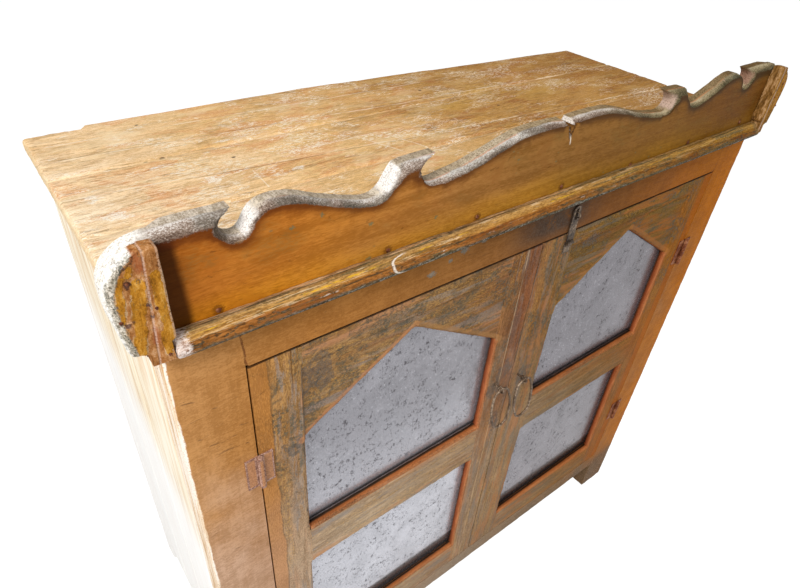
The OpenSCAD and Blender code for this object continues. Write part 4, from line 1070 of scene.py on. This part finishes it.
def painted_leaf():
    """Hinge leaf under the frame's paint, worn to the iron along its border."""
    m = Mat("painted_leaf")
    chips = m.noise(420, detail=4, rough=0.75)
    fine = m.noise(700, detail=3, rough=0.7)
    colour = m.mix(m.step(m.z, 0.45, 0.65), (184, 142, 112), (176, 124, 84))
    colour = m.vary(colour, chips * 0.5 + fine * 0.5, (0.78, 0.74, 0.68), (1.15, 1.15, 1.15))
    border = None
    for n in ("frame_hinge_leaves_left", "left_door_hinge_leaves"):
        low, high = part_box(n)
        for z in (high.z - 0.025, low.z + 0.025):
            dx = abs(m.x - (low.x + high.x) / 2) - (high.x - low.x) / 2
            dz = abs(m.z - z) - 0.025
            d = abs(m.most(dx, dz))
            border = d if border is None else m.math("MINIMUM", border, d)
    line = m.step(border + (chips - 0.5) * 0.003, 0.0026, 0.0012)
    colour = m.mix(
        line * 0.8, colour,
        m.ramp(chips, (0.38, (92, 62, 54)), (0.5, (142, 106, 94)), (0.6, (200, 168, 154)))
    )
    m.bump(chips + line * 0.5, 0.0008, 0.8)
    return m.done(colour, 0.6, specular=0.3)


crest_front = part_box("crest_board")[0].y
crest_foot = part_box("crest_board")[0].z
end_front = max(v.co.y for v in NODES["crest_end_left"].data.vertices if v.co.y < crest_front - 0.001)
JOINTS = (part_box("top_board_front")[1].y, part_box("top_board_middle")[1].y)
CREST_NAILS = ((-449, 989), (-265, 988), (-139, 990), (7, 990), (155, 985), (300, 988), (452, 992))
LEFT_SLOPES = ((-374, 759, -213, 859), (-212, 859, -51, 759))
RIGHT_SLOPES = ((68, 759, 225, 859), (226, 859, 382, 759))
look = {
    "top": top_wood(),
    "crest": crest_paint(),
    "end": end_paint(),
    "moulding": moulding_paint(),
    "frame_z": frame_paint("frame_upright", "z"),
    "frame_x": frame_paint("frame_rail", "x"),
    "door_z": door_paint("door_upright", "z"),
    "door_x": door_paint("door_rail", "x"),
    "side": side_wood("pale_side", (248, 240, 222), (236, 218, 188), (206, 168, 124), True),
    "inside": side_wood("rough_inside", (172, 138, 98), (142, 106, 70), (98, 70, 44)),
    "mirror": mirror_glass(),
    "wire": iron("ring_wire", (58, 44, 34), (104, 84, 66), (176, 154, 130), 0.55, 0.5),
    "hinge": iron("hinge_rust", (74, 34, 18), (122, 66, 36), (168, 118, 84)),
    "pin": iron("pin_painted", (120, 88, 76), (178, 142, 124), (222, 196, 180), 0.55, 0.2),
    "leaf": painted_leaf(),
    "hasp": iron("hasp_iron", (44, 36, 30), (84, 70, 58), (150, 128, 104), 0.55, 0.5),
    "nail": iron("nail_rust", (58, 26, 12), (98, 50, 26), (146, 96, 66), 0.65, 0.3),
}


# Shapes
def lattice(cell, seed):
    h = cell[:, 0] * 374761393 + cell[:, 1] * 668265263 + cell[:, 2] * 1274126177 + seed * 974634777
    h = (h ^ (h >> 13)) * 1103515245
    h = (h ^ (h >> 16)) & 0xFFFFFF
    return h / float(0xFFFFFF)


def value_noise(points, seed=0):
    """Smooth noise from 0 to 1 at each point, one cell a unit."""
    cell = np.floor(points).astype(np.int64)
    part = points - cell
    ease = part * part * (3 - 2 * part)
    total = np.zeros(len(points))
    for corner in np.ndindex(2, 2, 2):
        weight = np.ones(len(points))
        for axis in range(3):
            weight = weight * (ease[:, axis] if corner[axis] else 1 - ease[:, axis])
        total += weight * lattice(cell + np.array(corner), seed)
    return total


def rough_noise(points, octaves=3, seed=0):
    total, size, most = 0, 1.0, 0
    for i in range(octaves):
        total = total + size * value_noise(points * 2**i, seed + i)
        most += size
        size *= 0.5
    return total / most


def parts_of(node):
    """The node's separate solids as welded meshes."""
    whole = bmesh.new()
    whole.from_mesh(NODES[node].data)
    bmesh.ops.remove_doubles(whole, verts=whole.verts, dist=1e-6)
    left = set(whole.verts)
    found = []
    while left:
        seed = left.pop()
        group, edge = {seed}, [seed]
        while edge:
            for e in edge.pop().link_edges:
                for v in e.verts:
                    if v not in group:
                        group.add(v)
                        edge.append(v)
        left -= group
        found.append(group)
    made = []
    for group in found:
        index = {v: i for i, v in enumerate(group)}
        part = bmesh.new()
        verts = [part.verts.new(v.co) for v in group]
        for f in whole.faces:
            if f.verts[0] in index:
                part.faces.new([verts[index[v]] for v in f.verts])
        bmesh.ops.recalc_face_normals(part, faces=part.faces)
        made.append(part)
    whole.free()
    return made


def along_edge(e, gap):
    a, b = e.verts[0].co, e.verts[1].co
    n = max(1, int((b - a).length / gap))
    return [a.lerp(b, i / n) for i in range(n + 1)]


def sharp(e):
    return len(e.link_faces) == 2 and e.calc_face_angle(0) > 0.45


def near(points, co, most=0.05):
    """Distance in mm from each place to the nearest point, up to most."""
    if not points:
        return np.full(len(co), most * 1000)
    tree = kdtree.KDTree(len(points))
    for i, p in enumerate(points):
        tree.insert(p, i)
    tree.balance()
    return np.array([min(tree.find(p)[2], most) for p in co]) * 1000


BODY = {n: b for b, members in RECORD["behaviour"]["bodies"].items() for n in members}
SLOT = {s["node"]: s["material_slot"] for s in RECORD["subparts"]}


def joined(part, voxel, boxes):
    """Points on the part's open sharp edges, and those on edges that a neighbour shuts in."""
    free, shut = [], []
    reach = 0.0032
    for e in part.edges:
        if not sharp(e):
            continue
        ends = e.verts[0].co.copy(), e.verts[1].co.copy()
        for p in along_edge(e, voxel * 0.0008):
            if any(all(lo[k] - reach < p[k] < hi[k] + reach for k in range(3)) for lo, hi in boxes):
                shut.append((p, ends))
            else:
                free.append(p)
    return free, shut


def on_segment(p, ends):
    a, b = ends
    way = b - a
    share = (p - a).dot(way) / max(way.dot(way), 1e-12)
    return a + way * min(max(share, 0.0), 1.0)


def dress(node, material, verts, faces, fold=None, limit=None, **points):
    """Makes the piece that stands for a node; points holds its named numbers per vertex."""
    low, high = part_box(node)
    mesh = bpy.data.meshes.new(node)
    least = (cad_box[0][0], cad_box[0][1], low.z)
    most = (cad_box[1][0], high.y if limit is None else limit, high.z)
    mesh.from_pydata(np.clip(verts, least, most).tolist(), [], faces)
    mesh.polygons.foreach_set("use_smooth", [True] * len(faces))
    for key, values in points.items():
        mesh.attributes.new(key, "FLOAT", "POINT").data.foreach_set("value", values)
    mesh.materials.append(look[material])
    mesh.update()
    if fold:
        mesh.set_sharp_from_angle(angle=fold)
    piece = bpy.data.objects.new(node + "_worn", mesh)
    scene.collection.objects.link(piece)
    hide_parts(node)
    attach(piece, BODY[node])
    return piece


def bitten(node, co, normal, edge, chip):
    """Moves the points near an edge inwards, unevenly."""
    seed = sum(map(ord, node))
    spots = rough_noise(co * 55 + seed, 3, seed)
    small = rough_noise(co * 260, 2, seed + 9)
    bite = np.clip(1 - edge / 6.0, 0, 1) ** 1.5 * (np.clip(spots - 0.42, 0, 1) * 4 + small * 0.5)
    return co - normal * (bite * chip * 0.001)[:, None]


def worn(node, material, voxel, chip, relief, grain, shape=None, group=(), limit=None):
    """A fine copy of a wooden node with rounded, chipped edges and a grain relief. Sizes in mm.

    Edges that another member of the group shuts in stay sharp, so that the joint is a hairline."""
    verts, faces, edges, rims = [], [], [], []
    count = 0
    boxes = [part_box(n) for n in group if n != node]
    for part in parts_of(node):
        free, shut = joined(part, voxel, boxes)
        mesh = bpy.data.meshes.new("work")
        part.to_mesh(mesh)
        holder = bpy.data.objects.new("work", mesh)
        scene.collection.objects.link(holder)
        remesh = holder.modifiers.new("remesh", "REMESH")
        remesh.mode = "VOXEL"
        remesh.voxel_size = voxel * 0.001
        soften = holder.modifiers.new("soften", "SMOOTH")
        soften.factor = 0.5
        soften.iterations = 1
        fine = bpy.data.meshes.new_from_object(
            holder.evaluated_get(bpy.context.evaluated_depsgraph_get())
        )
        bpy.data.objects.remove(holder)
        bpy.data.meshes.remove(mesh)
        n = len(fine.vertices)
        co, normal = np.zeros(n * 3), np.zeros(n * 3)
        fine.vertices.foreach_get("co", co)
        fine.vertex_normals.foreach_get("vector", normal)
        co, normal = co.reshape(-1, 3), normal.reshape(-1, 3)
        edge = near(free, co)
        joint = near([p for p, ends in shut], co)
        surface = BVHTree.FromBMesh(part)
        flat = np.clip((edge - 1.1 * voxel) / (0.7 * voxel), 0, 1)
        for i in np.nonzero(flat > 0)[0]:
            spot = surface.find_nearest(Vector(co[i]))[0]
            co[i] += (np.array(spot) - co[i]) * flat[i]
        if shut:
            tree = kdtree.KDTree(len(shut))
            for i, (p, ends) in enumerate(shut):
                tree.insert(p, i)
            tree.balance()
            for i in np.nonzero(joint < 0.75 * voxel)[0]:
                k = tree.find(co[i])[1]
                co[i] = on_segment(Vector(co[i]), shut[k][1])
        rim = np.full(n, 50.0)
        if shape:
            co, rim = shape(part, co)
        part.free()
        co = bitten(node, co, normal, edge, chip)
        waves = (
            (rough_noise(co * np.array(grain) * 160, 3, sum(map(ord, node)) + 5) - 0.7)
            * np.clip(joint / 8.0, 0, 1)
        )
        co = co + normal * (waves * relief * 0.002)[:, None]
        loops = np.zeros(len(fine.loops), np.int64)
        fine.loops.foreach_get("vertex_index", loops)
        verts.append(co)
        faces.append(loops.reshape(-1, 4) + count)
        edges.append(edge)
        rims.append(rim)
        count += n
        bpy.data.meshes.remove(fine)
    verts, faces = np.concatenate(verts), np.concatenate(faces).tolist()
    dress(
        node, material, verts, faces, 1.1 if group else None, limit, edge=np.concatenate(edges),
        rim=np.concatenate(rims)
    )


def outline_of(part, front):
    """The outline of the face that lies at front, as a closed ring of (x, z)."""
    beside = {}
    for e in part.edges:
        if sum(all(abs(v.co.y - front) < 1e-5 for v in f.verts) for f in e.link_faces) == 1:
            a, b = e.verts
            beside.setdefault(a, []).append(b)
            beside.setdefault(b, []).append(a)
    start = min(beside, key=lambda v: (v.co.z, v.co.x))
    ring, last, at = [start], None, start
    while True:
        onward = [v for v in beside[at] if v is not last]
        last, at = at, onward[0]
        if at is start:
            return [(v.co.x, v.co.z) for v in ring]
        ring.append(at)


def crest_board(step=1.6):
    """The scalloped board, triangulated from its outline, with a bevelled and chipped front corner."""
    part = parts_of("crest_board")[0]
    corner = [
        (x, 1.064 if abs(x) < 0.005 and 1.0 < z < 1.064 else z) for x, z in outline_of(part, crest_front)
    ]
    ring = []
    for (ax, az), (bx, bz) in zip(corner, corner[1:] + corner[:1]):
        n = max(1, round(math.hypot(bx - ax, bz - az) / (step * 0.001)))
        ring += [(ax + (bx - ax) * i / n, az + (bz - az) * i / n) for i in range(n)]
    outline = np.array(ring)
    tree = kdtree.KDTree(len(ring))
    for i, (x, z) in enumerate(ring):
        tree.insert((x, 0, z), i)
    tree.balance()
    inner = []
    following = np.roll(outline, -1, axis=0)
    for row, z in enumerate(np.arange(outline[:, 1].min() + 0.0008, outline[:, 1].max(), step * 0.001)):
        above, next_above = outline[:, 1] > z, following[:, 1] > z
        hit = np.nonzero(above != next_above)[0]
        share = (z - outline[hit, 1]) / (following[hit, 1] - outline[hit, 1])
        crossings = np.sort(outline[hit, 0] + share * (following[hit, 0] - outline[hit, 0]))
        for column, x in enumerate(np.arange(outline[:, 0].min(), outline[:, 0].max(), step * 0.001)):
            if np.searchsorted(crossings, x) % 2 == 0:
                continue
            gap = tree.find((x, 0, z))[2] * 1000
            if gap > 0.5 * step and (gap < 11 or (row % 4 == 0 and column % 4 == 0)):
                inner.append((x, z))
    n = len(ring)
    made = geometry.delaunay_2d_cdt(
        [Vector(p) for p in ring + inner], [(i, (i + 1) % n) for i in range(n)], [], 1, 1e-07
    )
    flat = np.array([tuple(p) for p in made[0]])
    place = {old: new for new, olds in enumerate(made[3]) for old in olds}
    tris = [tuple(f) for f in made[2]]
    sheet = np.column_stack((flat[:, 0], np.full(len(flat), crest_front), flat[:, 1]))
    front, rim = crest_shape(part, sheet)
    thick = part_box("crest_board")[1].y - crest_front
    rear = sheet.copy()
    rear[:, 1] += thick
    verts, rims = [front, rear], [rim, rim]
    edge_at = [place[i] for i in range(n)]
    rings = [edge_at]
    total = 2 * len(flat)
    for k in (1, 2, 3, 4):
        between = front[edge_at] + (rear[edge_at] - front[edge_at]) * (k / 5)
        verts.append(between)
        rims.append(rim[edge_at])
        rings.append(list(range(total, total + n)))
        total += n
    rings.append([i + len(flat) for i in edge_at])
    a, b, c = (flat[list(corners)] for corners in zip(*tris))
    one, two = b - a, c - a
    area = (one[:, 0] * two[:, 1] - two[:, 0] * one[:, 1]).sum()
    if area < 0:
        tris = [f[::-1] for f in tris]
    faces = tris + [tuple(i + len(flat) for i in f[::-1]) for f in tris]
    loop = sum(a[0] * b[1] - b[0] * a[1] for a, b in zip(ring, ring[1:] + ring[:1])) > 0
    for low, high in zip(rings, rings[1:]):
        for i in range(n):
            j = (i + 1) % n
            quad = (low[j], low[i], high[i], high[j])
            faces.append(quad if loop else quad[::-1])
    co, rim = np.concatenate(verts), np.concatenate(rims)
    thin = np.clip((np.abs(co[:, 0]) - 0.478) / 0.012, 0, 1) * np.clip((co[:, 2] - 0.986) / 0.003, 0, 1)
    co[:, 1] -= np.clip((co[:, 1] - crest_front - 0.006) / 0.016, 0, 1) * 0.008 * thin
    trial = bpy.data.meshes.new("trial")
    trial.from_pydata(co.tolist(), [], faces)
    trial.update()
    normal = np.zeros(len(co) * 3)
    trial.vertex_normals.foreach_get("vector", normal)
    bpy.data.meshes.remove(trial)
    co = bitten("crest_board", co, normal.reshape(-1, 3), np.where(rim < 6, np.abs(rim - 2.5), 50.0), 0.7)
    part.free()
    dress("crest_board", "crest", co, faces, 1.25, rim=rim)


def outline_bevel(front, deep, tall, hooked=None, upper=0.012):
    """Rounds the front corner along the scalloped outline: deep front to back, tall along the face.

    The distance from the outline is stored so that the bevel ends at 5.
    hooked gives its height at the hooks."""

    def shape(part, co):
        points = []
        for e in part.edges:
            a, b = e.verts[0].co, e.verts[1].co
            if not sharp(e) or max(abs(a.y - front), abs(b.y - front)) > 1e-5:
                continue
            inner_end = abs(a.x - b.x) < 1e-5 and abs(a.z - b.z) > 0.012
            if max(a.z, b.z) < crest_foot + upper or inner_end:
                continue
            points += along_edge(e, 0.001)
        flat = co.copy()
        flat[:, 1] = front
        high = np.full(len(co), tall)
        if hooked:
            side = np.abs(co[:, 0])
            inner = np.clip((side - 0.196) / 0.008, 0, 1) * np.clip((0.268 - side) / 0.008, 0, 1)
            outer = np.clip((side - 0.411) / 0.008, 0, 1) * np.clip((0.506 - side) / 0.008, 0, 1)
            high += np.maximum(inner, outer) * np.clip((co[:, 2] - 1.056) / 0.008, 0, 1) * (hooked - tall)
            floor = np.maximum(
                np.clip((0.016 - side) / 0.006, 0, 1),
                np.clip(1 - (np.abs(side - 0.213) - 0.012) / 0.006, 0, 1) * (co[:, 2] < 1.064)
            )
            high = np.where(
                co[:, 2] < 1.072, high * (1 - np.where(side < 0.02, 0.8, 0.55) * np.clip(floor, 0, 1)),
                high
            )
        rim = near(points, flat) * 5 / high
        weight = np.clip(1 - rim / 5, 0, 1)
        weight = 1 - np.sqrt(np.clip(1 - weight**2, 0, 1)) * 0.5 - (1 - weight) * 0.5
        depth = co[:, 1] - front
        whole = max(v.co.y for v in part.verts) - front
        co = co.copy()
        co[:, 1] += weight * deep * 0.001 * np.clip(1 - depth / whole, 0, 1)
        return co, rim

    return shape


crest_shape = outline_bevel(crest_front, 10, 3.7, 8)
end_bevel = outline_bevel(end_front, 5, 5, upper=0.02)


def end_shape(part, co):
    """The bevel, and a narrower strip that stands a little further in."""
    co, rim = end_bevel(part, co)
    side = np.abs(co[:, 0])
    low = np.clip((side - 0.505) / 0.002, 0, 1) * (co[:, 1] < end_front)
    co[:, 1] += (end_front - co[:, 1]) * low
    inward = np.clip((0.503 - side) / 0.008, 0, 1) * np.clip((co[:, 2] - 0.988) / 0.003, 0, 1)
    co[:, 0] -= np.sign(co[:, 0]) * inward * 0.004
    return co, rim


def rear_edge(part, co):
    """The rear board's back edge, further out than drawn at the left and in at the right.

    Its left corner is broken off."""
    co = co.copy()
    drawn = 0.249 - 0.026 * (co[:, 0] + 0.518) / 1.052
    wanted = np.minimum(0.2495, 0.249 - 0.042 * (co[:, 0] + 0.09) / 0.62) + 0.0015
    co[:, 1] += (wanted - drawn) * np.clip((co[:, 1] - drawn + 0.06) / 0.05, 0, 1)
    rag = (rough_noise(co * 60, 3, 3) - 0.5) * 0.012
    reach = 0.236 + np.clip((co[:, 0] + 0.445) / 0.02, 0, 1) * 0.03 + rag
    co[:, 1] = np.minimum(co[:, 1], np.maximum(reach, 0.2))
    return co, np.full(len(co), 50.0)


coarse = 1.0
ALONG_X, ALONG_Z = (0.08, 1, 1), (1, 1, 0.08)
worn("top_board_front", "top", 4.0 * coarse, 1.2, 0.7, ALONG_X)
worn("top_board_middle", "top", 4.0 * coarse, 1.2, 0.7, ALONG_X)
worn("top_board_rear", "top", 4.0 * coarse, 1.2, 0.7, ALONG_X, rear_edge, limit=0.249)
crest_board()
for n in ("crest_end_left", "crest_end_right"):
    worn(n, "end", 1.5 * coarse, 0.8, 0.4, ALONG_Z, end_shape)
worn("crest_moulding", "moulding", 2.0 * coarse, 1.2, 0.3, ALONG_X)
FRAME = ["front_stile_left", "front_stile_right", "front_top_rail", "front_bottom_rail"]
MEMBERS = (
    "hinge_stile", "lock_stile", "top_rail", "middle_rail", "bottom_rail", "outer_spandrel",
    "inner_spandrel"
)
DOORS = [f"{side}_door_{n}" for side in ("left", "right") for n in MEMBERS]
for n in FRAME + DOORS:
    upright = "stile" in n
    kind = "frame" if n in FRAME else "door"
    worn(
        n, kind + ("_z" if upright else "_x"), 3.0 * coarse, 0.8, 0.3, ALONG_Z if upright else ALONG_X,
        group=FRAME + DOORS
    )
for side in ("left", "right"):
    worn(f"side_boards_{side}", "side", 5.0 * coarse, 0.8, 0.5, ALONG_Z)
    worn(f"rear_post_{side}", "side", 4.5 * coarse, 0.8, 0.4, ALONG_Z)
worn("back_boards", "inside", 6.0 * coarse, 0.8, 0.5, ALONG_Z)

SLOT_LOOK = {"top wood": "top", "crest paint": "crest", "moulding paint": "end", "frame paint": "frame_x",
             "door paint": "door_x", "side wood": "side", "inside wood": "inside", "mirror": "mirror",
             "wire iron": "wire", "hinge iron": "hinge"}
NODE_LOOK = {
    "frame_hinge_leaves_left": "leaf", "left_door_hinge_leaves": "leaf", "hinge_pins_left": "pin",
    "hasp": "hasp", "hasp_anchor": "hasp", "hasp_staple": "hasp"
}
for n, o in NODES.items():
    o.data.materials.clear()
    o.data.materials.append(look[NODE_LOOK.get(n, SLOT_LOOK[SLOT[n]])])


# Nails
def nails(name, places, front, r=2.6):
    """Domed, dented nail heads on a face that looks to the front; places in mm."""
    made = bmesh.new()
    for k, (x, z) in enumerate(places):
        rings = []
        for share, out in ((1.0, -0.6), (1.0, 0.15), (0.82, 0.75), (0.5, 1.0), (0.22, 0.85)):
            ring = []
            for i in range(16):
                a = i * math.pi / 8
                wave = 1 + 0.07 * math.sin(a * 3 + k) + 0.05 * math.sin(a * 5 + 2 * k)
                ring.append(
                    made.verts.new(
                        (
                            (x + r * share * wave * math.cos(a)) / 1000, front - out / 1000,
                            (z + r * share * wave * math.sin(a)) / 1000
                        )
                    )
                )
            rings.append(ring)
        for low, high in zip(rings, rings[1:]):
            for i in range(16):
                made.faces.new((low[i], low[(i + 1) % 16], high[(i + 1) % 16], high[i]))
        made.faces.new(list(reversed(rings[0])))
        made.faces.new(rings[-1])
    bmesh.ops.recalc_face_normals(made, faces=made.faces)
    mesh = bpy.data.meshes.new(name)
    made.to_mesh(mesh)
    made.free()
    mesh.polygons.foreach_set("use_smooth", [True] * len(mesh.polygons))
    mesh.materials.append(look["nail"])
    piece = bpy.data.objects.new(name, mesh)
    scene.collection.objects.link(piece)
    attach(piece, "carcass")


nails("crest_nails", CREST_NAILS, crest_front)
nails("end_nails", ((-518, 1054), (-529, 1021), (518, 1050), (527, 1012)), end_front, 1.6)
strip_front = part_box("crest_end_left")[0].y
nails("strip_nails", ((-502, 1026), (-500, 976), (503, 1030), (501, 980)), strip_front, 1.4)


# Stage
def stage_plane():
    mesh = bpy.data.meshes.new("floor")
    mesh.from_pydata(
        [(-14, -14, -0.0005), (14, -14, -0.0005), (14, 14, -0.0005), (-14, 14, -0.0005)], [],
        [(0, 1, 2, 3)]
    )
    floor = bpy.data.objects.new("floor", mesh)
    scene.collection.objects.link(floor)
    m = Mat("pale_floor")
    path = m.new("LightPath")
    seen = m.most(
        path.outputs["Is Camera Ray"], path.outputs["Is Glossy Ray"], path.outputs["Is Transmission Ray"]
    )
    m.shader.inputs["Base Color"].default_value = grey(0.8)
    m.shader.inputs["Roughness"].default_value = 0.9
    m.shader.inputs["Specular IOR Level"].default_value = 0.0
    glow = m.new("Emission")
    glow.inputs["Strength"].default_value = 0.88
    dim = m.new("BsdfDiffuse")
    dim.inputs["Color"].default_value = grey(0.30)
    both = m.new("AddShader")
    pick = m.new("MixShader")
    m.tree.links.new(glow.outputs[0], both.inputs[0])
    m.tree.links.new(dim.outputs[0], both.inputs[1])
    m.put(pick.inputs[0], seen)
    m.tree.links.new(m.shader.outputs[0], pick.inputs[1])
    m.tree.links.new(both.outputs[0], pick.inputs[2])
    m.tree.links.new(pick.outputs[0], m.out.inputs[0])
    mesh.materials.append(m.material)


stage_plane()

world = bpy.data.worlds.new("world")
scene.world = world
world.use_nodes = True
sky = world.node_tree
sky.nodes.clear()
sky_out = sky.nodes.new("ShaderNodeOutputWorld")
sky_path = sky.nodes.new("ShaderNodeLightPath")
sky_mix = sky.nodes.new("ShaderNodeMixShader")
sky_light = sky.nodes.new("ShaderNodeBackground")
sky_light.inputs["Strength"].default_value = 0.42
sky_light.inputs["Color"].default_value = (1, 1, 1, 1)
sky_seen = sky.nodes.new("ShaderNodeBackground")
sky_seen.inputs["Strength"].default_value = 1.0
sky_seen.inputs["Color"].default_value = (1, 1, 1, 1)
either = sky.nodes.new("ShaderNodeMath")
either.operation = "MAXIMUM"
any_seen = sky.nodes.new("ShaderNodeMath")
any_seen.operation = "MAXIMUM"
sky.links.new(sky_path.outputs["Is Glossy Ray"], either.inputs[0])
sky.links.new(sky_path.outputs["Is Transmission Ray"], either.inputs[1])
sky.links.new(sky_path.outputs["Is Camera Ray"], any_seen.inputs[0])
sky.links.new(either.outputs[0], any_seen.inputs[1])
sky.links.new(any_seen.outputs[0], sky_mix.inputs[0])
sky.links.new(sky_light.outputs[0], sky_mix.inputs[1])
sky.links.new(sky_seen.outputs[0], sky_mix.inputs[2])
sky.links.new(sky_mix.outputs[0], sky_out.inputs[0])


def lamp(name, at, aim, size, power):
    data = bpy.data.lights.new(name, "AREA")
    data.size = size
    data.energy = power
    holder = bpy.data.objects.new(name, data)
    holder.location = at
    holder.rotation_mode = "QUATERNION"
    holder.rotation_quaternion = (Vector(aim) - Vector(at)).to_track_quat("-Z", "Y")
    scene.collection.objects.link(holder)


lamp("key", (-2.2, -1.3, 3.0), (-0.1, -0.1, 0.7), 1.2, 95)
lamp("fill", (0.8, -3.4, 2.2), (0, 0, 0.6), 2.5, 22)

scene.view_settings.view_transform = "Standard"
